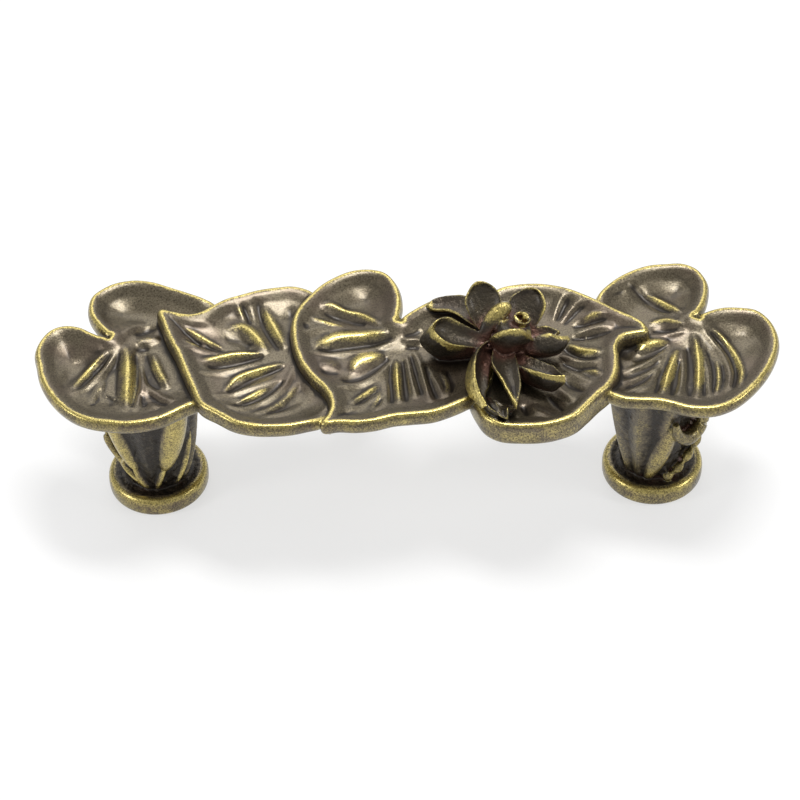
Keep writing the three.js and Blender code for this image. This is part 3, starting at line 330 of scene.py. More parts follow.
def nearest_on_line(xy, line, closed=False):
    """Distance to a line for many places at once, and how far along it the nearest point is."""
    ends = np.vstack([line, line[:1]]) if closed else line
    a, b = ends[:-1, :2], ends[1:, :2]
    length = np.linalg.norm(b - a, axis=1)
    start = np.concatenate([[0], np.cumsum(length)[:-1]])
    best = np.full(len(xy), 1e9)
    along = np.zeros(len(xy))
    for k in range(len(a)):
        t = np.clip(((xy - a[k]) @ (b[k] - a[k])) / max(length[k] ** 2, 1e-12), 0, 1)
        away = np.linalg.norm(xy - a[k] - t[:, None] * (b[k] - a[k]), axis=1)
        closer = away < best
        best[closer] = away[closer]
        along[closer] = (start[k] + t[closer] * length[k]) / length.sum()
    return best, along


def swell(value, low, high):
    """A smooth rise from 0 to 1 between two values."""
    t = np.clip((value - low) / (high - low), 0, 1)
    return t * t * (3 - 2 * t)


def rim_height(pad, xy):
    """Height of the tilted plane that a pad's rim lies in."""
    return (pad_height + pad["lift"] + pad["tilt"][0] * (xy[:, 0] - pad["stalk"][0])
            + pad["tilt"][1] * (xy[:, 1] - pad["stalk"][1]))


def pad_face(pad, xy, from_edge, dip):
    """Height of a pad's upper side, rim, dish and folds, and how far the brass shows on it."""
    fall = np.clip(from_edge - edge_bulge, 0, None)
    z = rim_height(pad, xy) - rim_round * np.clip(1 - from_edge / edge_bulge, 0, 1) ** 2
    z += dip * np.clip(1 - fall / 1.5, 0, 1)
    z -= 0.70 * swell(fall, 0.0, 2.4) + 0.90 * swell(fall, 0.8, 5.5)
    bright = 1.1 * np.exp(-(((from_edge - 0.58) / 0.27) ** 2)) + 0.26 * (from_edge < 0.40)
    inside = swell(fall, 0.4, 2.0)
    for height, half, shows, *marks in pad["folds"]:
        line = smooth_line([(pad["stalk"][0] + x, pad["stalk"][1] + y) for x, y in marks], 8)
        away, along = nearest_on_line(xy, line)
        taper = np.sin(np.pi * np.clip(along, 0.001, 0.999)) ** 0.5
        form = taper * np.exp(-0.7 * (away / (half * (0.35 + 0.65 * taper))) ** 2)
        z += inside * height * form
        bright = np.maximum(bright, shows * inside * form ** 1.3)
    for x, y, radius, depth in pad["hollows"]:
        away = np.hypot(xy[:, 0] - pad["stalk"][0] - x, xy[:, 1] - pad["stalk"][1] - y)
        z -= inside * depth * np.exp(-((away / radius) ** 2))
    thin = pad_height + pad["lift"] - pad["depth"] + 0.9
    z = thin + np.logaddexp(0, (z - thin) / 0.15) * 0.15
    return z, bright


fineness = 7
for pad in pads.values():
    line = smooth_line(pad["outline"], fineness, closed=True)
    along = np.roll(line, -1, 0)[:, :2] - np.roll(line, 1, 0)[:, :2]
    out = np.stack([along[:, 1], -along[:, 0]], 1) / np.linalg.norm(along, axis=1)[:, None]
    edge = line[:, :2] + edge_bulge * out
    middle = np.array(pad["middle"])
    under = pad_height + pad["lift"] - pad["depth"]
    top = rim_height(pad, edge) - rim_round
    rings = []
    for push, rise in ((-1.5, 0.0), (-1.0, 0.06), (-0.6, 0.2), (-0.3, 0.45), (-0.1, 0.8), (0.0, wall_foot)):
        rings.append(np.column_stack([edge + push * out, np.full(len(edge), under + rise)]))
    for share in (0.35, 0.7, 0.9):
        swollen = edge + 0.06 * math.sin(math.pi * share) * out
        rings.append(np.column_stack([swollen, under + wall_foot + share * (top - under - wall_foot)]))
    bright = [np.zeros(1), *[np.full(len(edge), wall_brass) for _ in rings]]
    steps = 60
    for share in np.linspace(0, 1, steps, endpoint=False) ** 1.15:
        xy = edge + share * (middle - edge)
        from_edge, _ = nearest_on_line(xy, edge, closed=True)
        z, shows = pad_face(pad, xy, from_edge, line[:, 2])
        rings.append(np.column_stack([xy, z]))
        bright.append(shows)
    centre_z, shows = pad_face(pad, middle[None], np.array([8.0]), np.zeros(1))
    bright.append(shows)
    skin = closed_skin(np.array([*middle, under]), np.array(rings), np.array([*middle, centre_z[0]]))
    pour(*skin, np.concatenate(bright))


# The open water lily lies across two of the pads: thick cupped blades with a rolled lip, set round a bud
# that is still shut. A petal has its spine, half widths, the way it faces, its cup and its depth underneath;
# "gold" is the brass on its right lip, left lip, tip and outside, seen from its root.
flower_seat = np.array([15.8, 1.0, 26.0])
petals = [
    {"spine": [(-2.2, -1.2, 1.6), (-5.4, -1.4, 2.4), (-8.9, -1.35, 3.4), (-11.5, -1.2, 5.2)],
     "halves": (1.2, 1.8, 2.6, 2.7), "faces": (0.6, -0.15, 1.0), "cup": 0.62, "under": (1.5, 3.0, 4.2, 3.0),
     "steep": 0.8, "lip": 0.75, "gold": (0.6, 1.0, 1.0, 0.0)},
    {"spine": [(-1.5, 3.0, 1.4), (-4.8, 5.8, 2.2), (-8.0, 7.6, 1.9), (-11.6, 7.9, 1.3)],
     "halves": (1.9, 2.3, 1.5, 1.0), "faces": (-0.1, -0.3, 1.0), "cup": 0.1, "under": (1.2, 1.6, 1.6, 1.2),
     "lip": 0.35, "gold": (0.0, 0.8, 0.9, 0.0)},
    {"spine": [(-2.0, 1.4, 1.4), (-3.2, 4.4, 3.4), (-3.9, 6.5, 5.5), (-4.3, 7.3, 6.7)],
     "halves": (1.5, 2.4, 2.8, 2.3), "faces": (0.1, -0.75, 0.65), "cup": 0.30, "under": (0.9, 0.9, 0.9, 0.7),
     "lip": 0.4, "gold": (0.1, 0.6, 0.9, 0.0)},
    {"spine": [(1.4, 1.6, 1.4), (2.9, 4.3, 3.2), (3.6, 6.1, 4.7), (3.7, 7.0, 5.6)],
     "halves": (1.5, 2.5, 2.9, 2.5), "faces": (-0.15, -0.75, 0.65), "cup": 0.35,
     "under": (0.9, 0.9, 0.9, 0.7), "lip": 0.45, "gold": (0.9, 0.15, 0.7, 0.0)},
    {"spine": [(-3.2, -0.6, 1.4), (-3.0, 0.6, 3.2), (-1.5, 2.1, 5.0), (0.6, 2.8, 6.1)],
     "halves": (0.9, 1.3, 1.6, 1.3), "faces": (0.7, 0.3, -0.3), "cup": 0.2, "under": (1.0, 1.2, 1.2, 0.9),
     "lip": 0.3, "gold": (0.5, 0.5, 0.9, 0.75)},
    {"spine": [(0.2, -1.0, 1.0), (-0.3, -2.9, 2.5), (0.7, -3.0, 3.9), (3.6, -1.8, 3.5)],
     "halves": (1.7, 2.7, 2.5, 1.4), "faces": (0.1, 0.8, 0.4), "cup": 0.35, "under": (0.9, 1.0, 1.0, 0.7),
     "lip": 0.75, "pointed": True, "gold": (1.0, 0.2, 1.0, 0.0)},
    {"spine": [(2.2, -1.8, 1.0), (4.6, -2.3, 1.6), (7.0, -2.1, 2.0), (9.1, -1.4, 3.0)],
     "halves": (1.4, 2.1, 2.2, 1.4), "faces": (-0.25, 0.85, -0.1), "cup": 0.35, "under": (0.9, 1.1, 1.1, 0.8),
     "lip": 0.5, "pointed": True, "gold": (1.0, 0.1, 0.8, 0.0)},
    {"spine": [(2.2, 0.2, 1.2), (4.8, 0.5, 1.6), (7.8, 0.6, 2.3)],
     "halves": (1.0, 1.5, 1.1), "faces": (0.0, -0.2, 1.0), "cup": 0.35, "under": (0.8, 0.9, 0.6),
     "lip": 0.3, "pointed": True, "gold": (0.0, 0.5, 0.4, 0.0)},
    {"spine": [(0.4, -3.4, 1.2), (2.8, -6.3, 1.6), (5.6, -8.2, 1.9), (8.1, -10.0, 2.7)],
     "halves": (1.4, 1.9, 1.7, 1.3), "faces": (0.1, 0.3, 0.95), "cup": 0.50, "under": (1.0, 2.2, 2.4, 2.0),
     "steep": 0.6, "lip": 0.6, "pointed": True, "gold": (1.0, 0.2, 1.0, 0.0)},
    {"spine": [(-0.7, -2.6, 1.8), (-0.7, -6.4, 2.4), (0.3, -10.8, 2.6), (0.8, -14.9, 2.1)],
     "halves": (1.5, 2.0, 1.3, 1.0), "faces": (0.1, 0.0, 1.0), "cup": 0.45, "under": (1.2, 1.6, 1.6, 1.2),
     "steep": 0.2, "lip": 0.5, "pointed": True, "gold": (1.0, 0.3, 1.0, 0.0)},
    {"spine": [(-2.8, -1.8, 1.6), (-4.4, -5.6, 2.4), (-4.9, -10.0, 2.6), (-3.9, -14.4, 1.9)],
     "halves": (1.3, 1.9, 1.8, 0.9), "faces": (0.85, -0.1, 0.55), "cup": 0.50, "under": (1.2, 1.6, 1.7, 1.2),
     "steep": 0.2, "lip": 0.5, "pointed": True, "gold": (1.0, 0.15, 1.0, 0.75)},
    {"spine": [(-3.4, -10.6, 0.2), (-3.0, -12.9, 0.9), (-1.7, -14.8, 0.7)],
     "halves": (0.7, 1.0, 0.8), "faces": (0.5, -0.3, 0.8), "cup": 0.6, "under": (0.8, 0.9, 0.7),
     "lip": 0.3, "pointed": True, "gold": (0.1, 0.1, 0.2, 0.0)},
    {"spine": [(0.2, -12.9, 0.2), (-0.9, -14.3, 0.9), (-0.4, -15.6, 0.6)],
     "halves": (0.6, 0.9, 0.7), "faces": (-0.4, -0.2, 0.9), "cup": 0.6, "under": (0.8, 0.9, 0.7),
     "lip": 0.3, "pointed": True, "gold": (0.1, 0.1, 0.2, 0.0)},
]
petal_sides = 60
thinnest = 0.08
stalk_sides = 16


def petal_rings(spine, halves, faces, cup, under, lip, gold, steep=0.0, pointed=False):
    """Cross-sections of a petal from root to tip, and how far the brass and the black show."""
    spine = smooth_line(spine, 12)
    travelled = np.concatenate([[0], np.cumsum(np.linalg.norm(np.diff(spine, axis=0), axis=1))])
    share = travelled / travelled[-1]
    half = np.interp(share, np.linspace(0, 1, len(halves)), halves)
    depth = np.interp(share, np.linspace(0, 1, len(under)), under)
    for _ in range(6):
        half[1:-1] = (half[:-2] + 2 * half[1:-1] + half[2:]) / 4
    if pointed:
        half = half * np.clip((1 - share) / 0.30, 0, 1) ** 0.75
    else:
        turn_in = 1 - 1.1 * max(halves[-2:]) / travelled[-1]
        half = half * np.sqrt(np.clip(1 - (np.clip(share - turn_in, 0, 1) / (1 - turn_in)) ** 2, 0, 1))
    round_it = np.linspace(0, 2 * np.pi, petal_sides, endpoint=False)
    across = np.sign(np.cos(round_it)) * np.abs(np.cos(round_it)) ** 0.7
    above = np.clip(np.sin(round_it), 0, 1) ** 0.6
    below = np.clip(-np.sin(round_it), 0, 1)
    belly = (1 - steep) * below ** 0.8 * (1 - np.abs(across) ** 1.6) + steep * below ** 0.3
    right, left, tip, outside = gold
    rings, bright, dark = [], [], []
    for k, at in enumerate(spine):
        ahead = spine[min(k + 1, len(spine) - 1)] - spine[max(k - 1, 0)]
        ahead = ahead / np.linalg.norm(ahead)
        up = np.array(faces) - np.dot(faces, ahead) * ahead
        up = up / np.linalg.norm(up)
        side = np.cross(ahead, up)
        wide = max(half[k], thinnest)
        from_lip = (1 - np.abs(across)) * wide
        rolled = lip * (0.25 + 0.75 * swell(share[k], 0.1, 0.6))
        rise = 0.12 + rolled * np.exp(-(from_lip / 0.6) ** 2) + 0.25 * lip * swell(share[k], 0.78, 0.97)
        deep = 0.35 * below ** 0.8 + (depth[k] - 0.35) * min(1, wide / 1.2) * belly
        lift = cup * wide * across ** 2 + rise * above - deep
        rings.append(at + side * (wide * across)[:, None] + up * lift[:, None])
        lit = np.where(across > 0, right, left)
        over_edge = np.exp(-((deep / 0.4) ** 2))
        past_root = swell(share[k], 0.25, 0.65)
        at_lip = 1.1 * lit * np.exp(-(from_lip / (0.26 + 0.4 * lip)) ** 2) * over_edge * past_root
        at_lip = np.maximum(at_lip, outside * (1 - over_edge) * swell(share[k], 0.25, 0.6))
        bright.append(np.maximum(at_lip, tip * over_edge * swell(share[k], 0.9, 0.98)))
        # Black patina all over the petal, deepened towards its underside as painted shade.
        dark.append(0.66 + 0.34 * np.clip(deep / 1.5, 0, 1))
    return np.array(rings), np.array(bright), np.array(dark)


for row in petals:
    rings, shows, black = petal_rings(**row)
    points, faces = closed_skin(rings[0].mean(0), rings, rings[-1].mean(0))
    pour(points + flower_seat, faces, np.concatenate([[0], shows.ravel(), [row["gold"][2]]]),
         np.concatenate([[1], black.ravel(), [0.6]]))


def turned_form(profile, turns, place=(0, 0, 0), lean=(0, 0)):
    """A form turned on a wheel: (radius, height) from the bottom up, closed at both ends."""
    angle = np.linspace(0, 2 * np.pi, turns, endpoint=False)
    rings = np.array([[(r * math.cos(a), r * math.sin(a), z) for a in angle] for r, z in profile[1:-1]])
    ends = [np.array([0.0, 0.0, profile[0][1]]), np.array([0.0, 0.0, profile[-1][1]])]
    points, faces = closed_skin(ends[0], rings, ends[1])
    tip = Matrix.Rotation(math.radians(lean[1]), 3, "Y") @ Matrix.Rotation(math.radians(lean[0]), 3, "X")
    return points @ np.array(tip).T + np.array(place), faces


def round_stalk(marks, radii, place, shows, dark=0.2):
    """A round stalk bent along listed points, its radius given at each of them."""
    line = smooth_line(marks, 6)
    radius = np.interp(np.linspace(0, 1, len(line)), np.linspace(0, 1, len(radii)), radii)
    angle = np.linspace(0, 2 * np.pi, stalk_sides, endpoint=False)
    rings = []
    for k, at in enumerate(line):
        ahead = line[min(k + 1, len(line) - 1)] - line[max(k - 1, 0)]
        ahead = ahead / np.linalg.norm(ahead)
        across = np.cross(ahead, (0.0, 0.0, 1.0) if abs(ahead[2]) < 0.9 else (0.0, 1.0, 0.0))
        across /= np.linalg.norm(across)
        other = np.cross(ahead, across)
        rings.append(at + radius[k] * (np.cos(angle)[:, None] * across + np.sin(angle)[:, None] * other))
    points, faces = closed_skin(line[0], np.array(rings), line[-1])
    pour(points + np.array(place), faces, np.full(len(points), shows), dark)


seat = turned_form([(0, -1.6), (4.6, -1.6), (4.4, 0.4), (3.4, 1.3), (1.6, 1.8), (0, 1.9)], 48)
pour(seat[0] + flower_seat, seat[1], dark=0.7)
bud = turned_form([(0, 0), (1.6, 0.1), (2.4, 0.8), (2.7, 1.9), (2.6, 3.0), (2.2, 3.8), (1.2, 3.9), (0, 3.7)],
                  48, (0.5, -0.7, 0.8), (-8, 10))
pour(bud[0] + flower_seat, bud[1], dark=0.8)
curl = turned_form([(0, 0), (1.0, 0.1), (1.2, 1.2), (1.3, 2.3), (1.27, 2.6), (1.12, 2.7), (0.98, 2.55),
                    (0.92, 2.0), (0.9, 1.3), (0, 1.2)], 40, (1.75, 0.65, 3.0), (4, 10))
arc = swell(curl[0][:, 2], 5.3, 5.6) * (curl[0][:, 0] + curl[0][:, 1] > 2.6)
pour(curl[0] + flower_seat, curl[1], arc, 0.7)
round_stalk([(1.0, 0.7, 5.9), (1.6, 0.0, 5.6), (2.25, -0.75, 5.0)], [0.15, 0.2, 0.15], flower_seat, 1.0)
round_stalk([(2.5, 0.8, 4.4), (2.6, 0.8, 5.2), (2.65, 0.8, 5.7)], [0.3, 0.45, 0.25], flower_seat, 1.0)


# Each post is a bunch of stems standing on a turned foot, with reeds, seed heads and blades
# laid round it. A blind hole with a machine thread runs up it from the foot.
post_reach = 38.1
foot_radius = 7.7
foot_height = 3.2
waist_radius = 4.7
middle_radius = 5.8
head_radius = 7.3
head_height = 23.0
hidden_top = 24.0
hole_radius = 1.725
hole_depth = 12.0
thread_start = 0.6
thread_pitch = 0.794
thread_height = 0.30
thread_step = 0.12


def post_radius(z):
    """Radius of the bare post, which widens from its waist to the pads."""
    t = np.clip((z - foot_height) / (head_height - foot_height), 0, 1)
    return waist_radius + (head_radius - waist_radius) * t ** 1.15


def growth(turn, z, rows):
    """Relief of what is laid on a post: rows of (half width, rise, brass shown, (turn, height)...).
    Stems and reeds are round and show more brass than the ridged leaves do."""
    stems = 0.16 * np.cos(turn * 17 + 1.2 * np.sin(z * 0.33)) + 0.14 * np.cos(turn * 37 + 2 * np.sin(z * 1.3))
    relief = stems + 0.20 * np.sin(z * 2.3 + 3 * np.sin(turn * 5)) * np.sin(z * 1.1 + turn * 7)
    bright = np.zeros(len(turn))
    for half, rise, shows, *marks in rows:
        line = smooth_line([(math.radians(t) * middle_radius, h) for t, h in marks], 8)
        first = math.radians(marks[0][0])
        wrapped = (turn - first + np.pi) % (2 * np.pi) - np.pi + first
        away, along = nearest_on_line(np.column_stack([wrapped * middle_radius, z]), line)
        taper = np.sin(np.pi * np.clip(along, 0.001, 0.999)) ** 0.45
        share = np.clip(away / (half * taper + 0.05), 0, 1)
        ridged = (1 - share) * 0.7 + 0.3 * np.sqrt(1 - share)
        form = ridged if shows < 0.45 else np.sqrt(1 - share ** 2)
        raised = rise * taper ** 0.5 * form
        bright = np.where(raised > relief, shows * form, bright)
        relief = np.maximum(relief, raised)
    return relief, bright


def post(x, rows):
    """A post in one skin: down the threaded hole, under and round the foot, and up to the pads."""
    turns = 300
    angle = np.linspace(0, 2 * np.pi, turns, endpoint=False)

    def ring(radius, z):
        return np.column_stack([radius * np.cos(-angle), radius * np.sin(-angle), np.full(turns, z)])

    rings = []
    for z in np.arange(hole_depth, thread_start, -thread_step):
        thread = thread_height * np.abs(((z / thread_pitch + angle / (2 * np.pi)) % 1) * 2 - 1)
        rings.append(ring(hole_radius + thread, z))
    foot = [(2.35, 0.45), (2.7, 0.1), (2.9, 0.0), (foot_radius - 0.9, 0.0), (foot_radius - 0.5, 0.08),
            (foot_radius - 0.2, 0.28), (foot_radius - 0.03, 0.65), (foot_radius, 1.2), (foot_radius, 1.9),
            (foot_radius - 0.08, 2.4), (foot_radius - 0.28, 2.82), (foot_radius - 0.6, 3.1),
            (foot_radius - 1.0, 3.2), (6.2, 3.15), (5.6, 3.0)]
    rings.extend(ring(radius, z) for radius, z in foot)
    bright = [np.zeros(turns) for _ in rings]
    for z in np.linspace(3.1, hidden_top, 160):
        grown, shows = growth(-angle + np.pi / 2, np.full(turns, z), rows)
        rings.append(ring(post_radius(z) + grown * swell(z, 2.6, 4.2), z))
        bright.append(shows * swell(z, 3.0, 4.0))
    ends = [np.array([0, 0, hole_depth + 1.0]), np.array([0, 0, hidden_top])]
    points, faces = closed_skin(ends[0], np.array(rings), ends[1])
    out = np.hypot(points[:, 0], points[:, 1])
    bright = np.concatenate([[0], np.concatenate(bright), [0]])
    on_rim = 0.36 * swell(out, 6.2, 6.9) + 0.34 * swell(out, 6.5, 7.1) * swell(points[:, 2], 2.2, 2.8)
    in_recess = 0.8 * (1 - swell(out, 6.2, 6.8))
    between_leaves = 1 - np.clip(4 * bright, 0, 1)
    low = points[:, 2] < 3.3
    pour(points + np.array([x, 0, 0]), faces,
         np.where(low, on_rim, bright), np.where(low, in_recess, between_leaves))


left_growth = [
    (1.6, 1.3, 0.66, (-58, 22.0), (-52, 15.5), (-40, 10.8), (-27, 7.6)),
    (0.5, 0.9, 0.66, (-33, 9.2), (-22, 5.2), (-9, 2.9)),
    (2.0, 1.4, 0.66, (46, 22.5), (38, 15.5), (28, 10.4), (19, 7.6)),
    (0.5, 0.9, 0.66, (22, 8.8), (9, 5.2), (0, 2.9)),
    (1.3, 1.2, 0.3, (90, 19.0), (85, 10.5), (72, 6.5), (50, 2.9)),
    (0.6, 0.9, 0.66, (74, 12.5), (58, 7.0), (34, 2.9)),
    (0.5, 0.9, 0.66, (-84, 12.5), (-64, 7.6), (-30, 5.2), (-12, 2.9)),
    (0.5, 0.9, 0.66, (-72, 5.4), (-52, 8.2), (-40, 10.4)),
    (1.5, 0.55, 0.0, (-4, 23.5), (-6, 14.0), (-3, 5.0)),
    (1.8, 1.2, 0.66, (128, 22.0), (140, 12.0), (152, 3.0)),
    (1.8, 1.2, 0.66, (-118, 22.0), (-140, 12.0), (-156, 3.0)),
    (1.4, 0.9, 0.3, (176, 22.5), (178, 12.0), (180, 3.0)),
]
right_growth = [
    (2.3, 1.1, 0.3, (-70, 23.0), (-66, 13.0), (-50, 2.9)),
    (1.9, 0.8, 0.3, (-20, 23.5), (-28, 13.0), (-34, 2.9)),
    (1.5, 1.3, 0.5, (20, 16.0), (9, 10.5), (-6, 5.6), (-17, 3.1)),
    (1.3, 0.6, 0.3, (18, 23.5), (12, 17.5), (4, 13.0)),
    (1.3, 1.1, 0.3, (92, 21.0), (80, 12.0), (62, 6.5), (44, 3.0)),
    (2.0, 1.1, 0.3, (-112, 22.0), (-128, 12.0), (-146, 3.0)),
    (1.8, 1.2, 0.66, (132, 22.0), (146, 12.0), (158, 3.0)),
    (1.5, 0.9, 0.3, (-176, 22.5), (-178, 12.0), (-180, 3.0)),
]
post(-post_reach, left_growth)
post(post_reach, right_growth)


def round_the_post(marks):
    """Turns (turn in degrees, height, stand-off) into places round a post."""
    places = []
    for turn_deg, z, off in marks:
        radius = float(post_radius(np.array(z))) + off
        angle = math.radians(turn_deg)
        places.append((radius * math.sin(angle), -radius * math.cos(angle), z))
    return places


on_left, on_right = (-post_reach, 0, 0), (post_reach, 0, 0)
hooked_bud = round_the_post([(56, 23.0, 0.3), (66, 17.0, 1.2), (58, 13.6, 1.5), (38, 12.9, 1.4),
                             (24, 14.4, 1.2), (19, 17.0, 0.9)])
round_stalk(hooked_bud, [0.7, 0.9, 1.1, 1.15, 0.9, 0.5], on_right, 0.4)
beads = [(14, 3.4, 0.5), (30, 4.4, 0.7), (46, 6.0, 0.9), (62, 8.0, 1.2), (74, 10.2, 1.5), (82, 12.6, 1.6),
         (88, 15.2, 1.4), (92, 17.8, 1.0), (96, 20.6, 0.4)]
for start, end in zip(beads[:-1], beads[1:]):
    half_way = [(a + b) / 2 for a, b in zip(start, end)]
    round_stalk(round_the_post([start, half_way, end]), [0.25, 0.6, 0.75, 0.6, 0.25], on_right, 0.5, 0.5)
curled_tip = round_the_post([(-48, 6.4, 0.2), (-64, 8.8, 0.7), (-80, 10.8, 1.2), (-94, 14.8, 0.9)])
round_stalk(curled_tip, [0.4, 0.6, 0.8, 0.6], on_left, 0.5)


# The forms leave the mould as one piece of brass, so they are fused into a single skin and
# its sharp meetings are softened as the metal softens them.
skin_step = 0.18
skin_limit = 190000


def read_out(values, name, width, kind=float):
    """What each row of a mesh holds under a name, as an array with so many columns."""
    numbers = np.empty(len(values) * width, kind)
    values.foreach_get(name, numbers)
    return numbers.reshape(-1, width)


rough_mesh = bpy.data.meshes.new("forms")
rough_mesh.from_pydata(((np.vstack(casting_points) - box_middle) / 1000).tolist(), [], casting_faces)
rough = bpy.data.objects.new("forms", rough_mesh)
bpy.context.collection.objects.link(rough)
fuse = rough.modifiers.new("fuse", "REMESH")
fuse.mode = "VOXEL"
fuse.voxel_size = skin_step / 1000
soften = rough.modifiers.new("soften", "SMOOTH")
soften.factor = 0.5
soften.iterations = 3
fine_mesh = bpy.data.meshes.new_from_object(rough.evaluated_get(bpy.context.evaluated_depsgraph_get()))
rough.modifiers.clear()
rough.data = fine_mesh
thin_out = rough.modifiers.new("thin out", "DECIMATE")
thin_out.ratio = skin_limit / sum(len(p.vertices) - 2 for p in fine_mesh.polygons)
thin_out.use_collapse_triangulate = True
pull_mesh = bpy.data.meshes.new_from_object(rough.evaluated_get(bpy.context.evaluated_depsgraph_get()))
bpy.data.objects.remove(rough)
pull_mesh.name = "lily_pull"
places = np.clip(read_out(pull_mesh.vertices, "co", 3), frame_box[0], frame_box[1])
pull_mesh.vertices.foreach_set("co", places.ravel())
pull_mesh.update()
pull_mesh.shade_smooth()
pull = bpy.data.objects.new("lily_pull", pull_mesh)
bpy.context.collection.objects.link(pull)
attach(pull, "root")
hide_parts("lily_pad_pull")


# Handling and polishing wear the dark finish off every crest and leave it in the hollows, so
# the skin is measured: how far each spot stands proud of, or below, its neighbourhood, and how
# far the nearby skin shuts each spot in, which is painted into the colour as shade.
def evened(values, edges, rounds):
    """Values spread over their neighbours again and again, as many rounds as asked."""
    a, b = edges[:, 0], edges[:, 1]
    share = np.bincount(a, minlength=len(values)) + np.bincount(b, minlength=len(values)) + 1.0
    for _ in range(rounds):
        spread = values.copy()
        for column in range(values.shape[1]):
            spread[:, column] += np.bincount(a, values[b, column], len(values))
            spread[:, column] += np.bincount(b, values[a, column], len(values))
        values = spread / share[:, None]
    return values


def search_tree(points):
    """A tree that finds the points nearest to a place."""
    tree = KDTree(len(points))
    for k, point in enumerate(points):
        tree.insert(point, k)
    tree.balance()
    return tree


fine_points = read_out(fine_mesh.vertices, "co", 3)
fine_normals = read_out(fine_mesh.vertex_normals, "vector", 3)
fine_edges = read_out(fine_mesh.edges, "vertices", 2, int)
steps_small, steps_large = ((9, 70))
near = evened(fine_points, fine_edges, steps_small)
proud_near = ((fine_points - near) * fine_normals).sum(1) * 1000
far = evened(near, fine_edges, steps_large)
proud_far = ((fine_points - far) * fine_normals).sum(1) * 1000

fine_tree = search_tree(fine_points)
nearest = np.array([fine_tree.find(point)[1] for point in places])
normals = read_out(pull_mesh.vertex_normals, "vector", 3)
skin = BVHTree.FromPolygons(places.tolist(), [tuple(p.vertices) for p in pull_mesh.polygons])
golden = math.pi * (3 - math.sqrt(5))
rays = 20
shade_reach = 0.008
clear_of_skin = 0.00012
directions = []
for k in range(rays):
    up = math.sqrt((k + 0.5) / rays)
    out = math.sqrt(1 - up * up)
    directions.append((out * math.cos(k * golden), out * math.sin(k * golden), up))
# Painted shade: the more of its sky the nearby skin blocks, the darker a spot is painted.
shaded = np.zeros(len(places))
for k in range(len(places)):
    normal = Vector(normals[k])
    start = Vector(places[k]) + normal * clear_of_skin
    across = normal.orthogonal().normalized()
    other = normal.cross(across)
    blocked = 0.0
    for x, y, z in directions:
        hit = skin.ray_cast(start, across * x + other * y + normal * z, shade_reach)
        if hit[0] is not None:
            blocked += 1 - hit[3] / shade_reach
    shaded[k] = blocked / rays
millimetres = places * 1000 + box_middle
# Painted shade round and under the flower, within about 10 mm of the bud.
from_bud = np.linalg.norm(millimetres - (flower_seat + (0, -1.5, 2.0)), axis=1)
shaded += 0.30 * np.exp(-((from_bud / 10.0) ** 2)) * (millimetres[:, 2] > 26.3)
off_the_posts = 0.6
relief = np.full(len(places), off_the_posts)
for x in (-post_reach, post_reach):
    out = np.hypot(millimetres[:, 0] - x, millimetres[:, 1])
    on_post = (out < post_radius(millimetres[:, 2]) + 2.4) & (out > 3.5)
    on_post &= (millimetres[:, 2] > foot_height - 0.2) & (millimetres[:, 2] < 23.2)
    relief[on_post] = (out - post_radius(millimetres[:, 2]))[on_post]
form_bright = np.concatenate(casting_bright)
form_dark = np.concatenate(casting_dark)
form_tree = search_tree(np.vstack(casting_points))
bright = np.zeros(len(places))
dark = np.zeros(len(places))
for k, point in enumerate(millimetres):
    close = form_tree.find_n(point, 4)
    weights = [1 / (found[2] + 0.05) for found in close]
    bright[k] = sum(w * form_bright[found[1]] for w, found in zip(weights, close)) / sum(weights)
    dark[k] = sum(w * form_dark[found[1]] for w, found in zip(weights, close)) / sum(weights)
for name, values in (("proud_near", proud_near[nearest]), ("proud_far", proud_far[nearest]),
                     ("shaded", shaded), ("relief", relief), ("bright", bright), ("dark", dark)):
    layer = pull_mesh.attributes.new(name, "FLOAT", "POINT")
    layer.data.foreach_set("value", values.astype(np.float32))
bpy.data.meshes.remove(fine_mesh)


# The finish is an antique brass: the casting is blackened to a bronze brown and then rubbed,
# so the crests and rims show gold, the faces stay umber and the hollows nearly black; the same
# near-black is also painted as shade where the skin is shut in, round the flower and under petals.
finish = bpy.data.materials.new("antique_brass")
finish.use_nodes = True
nodes, links = finish.node_tree.nodes, finish.node_tree.links
nodes.clear()
shader = nodes.new("ShaderNodeBsdfPrincipled")
output = nodes.new("ShaderNodeOutputMaterial")
links.new(shader.outputs["BSDF"], output.inputs["Surface"])
where = nodes.new("ShaderNodeTexCoord").outputs["Object"]


def measured(name):
    """What was measured on the skin under this name."""
    node = nodes.new("ShaderNodeAttribute")
    node.attribute_name = name
    return node.outputs["Fac"]


def speckle(scale, detail):
    """A noise fixed to the casting, with so many spots to the metre."""
    node = nodes.new("ShaderNodeTexNoise")
    node.inputs["Scale"].default_value = scale
    node.inputs["Detail"].default_value = detail
    node.inputs["Roughness"].default_value = 0.55
    links.new(where, node.inputs["Vector"])
    return node.outputs["Fac"]


def put(socket, value):
    if isinstance(value, (int, float)):
        socket.default_value = value
    else:
        links.new(value, socket)


def worked(operation, a, b, c=None):
    node = nodes.new("ShaderNodeMath")
    node.operation = operation
    put(node.inputs[0], a)
    put(node.inputs[1], b)
    if c is not None:
        put(node.inputs[2], c)
    return node.outputs["Value"]


def varied(value, noise, share):
    """A value made uneven by a noise, which swings about a half."""
    return worked("MULTIPLY_ADD", worked("SUBTRACT", noise, 0.5), share, value)


def between(value, low, high, to_low=0.0, to_high=1.0):
    """A value carried smoothly from one range to another and held at both ends."""
    node = nodes.new("ShaderNodeMapRange")
    node.interpolation_type = "SMOOTHSTEP"
    put(node.inputs["Value"], value)
    for name, number in (("From Min", low), ("From Max", high), ("To Min", to_low), ("To Max", to_high)):
        node.inputs[name].default_value = number
    return node.outputs["Result"]


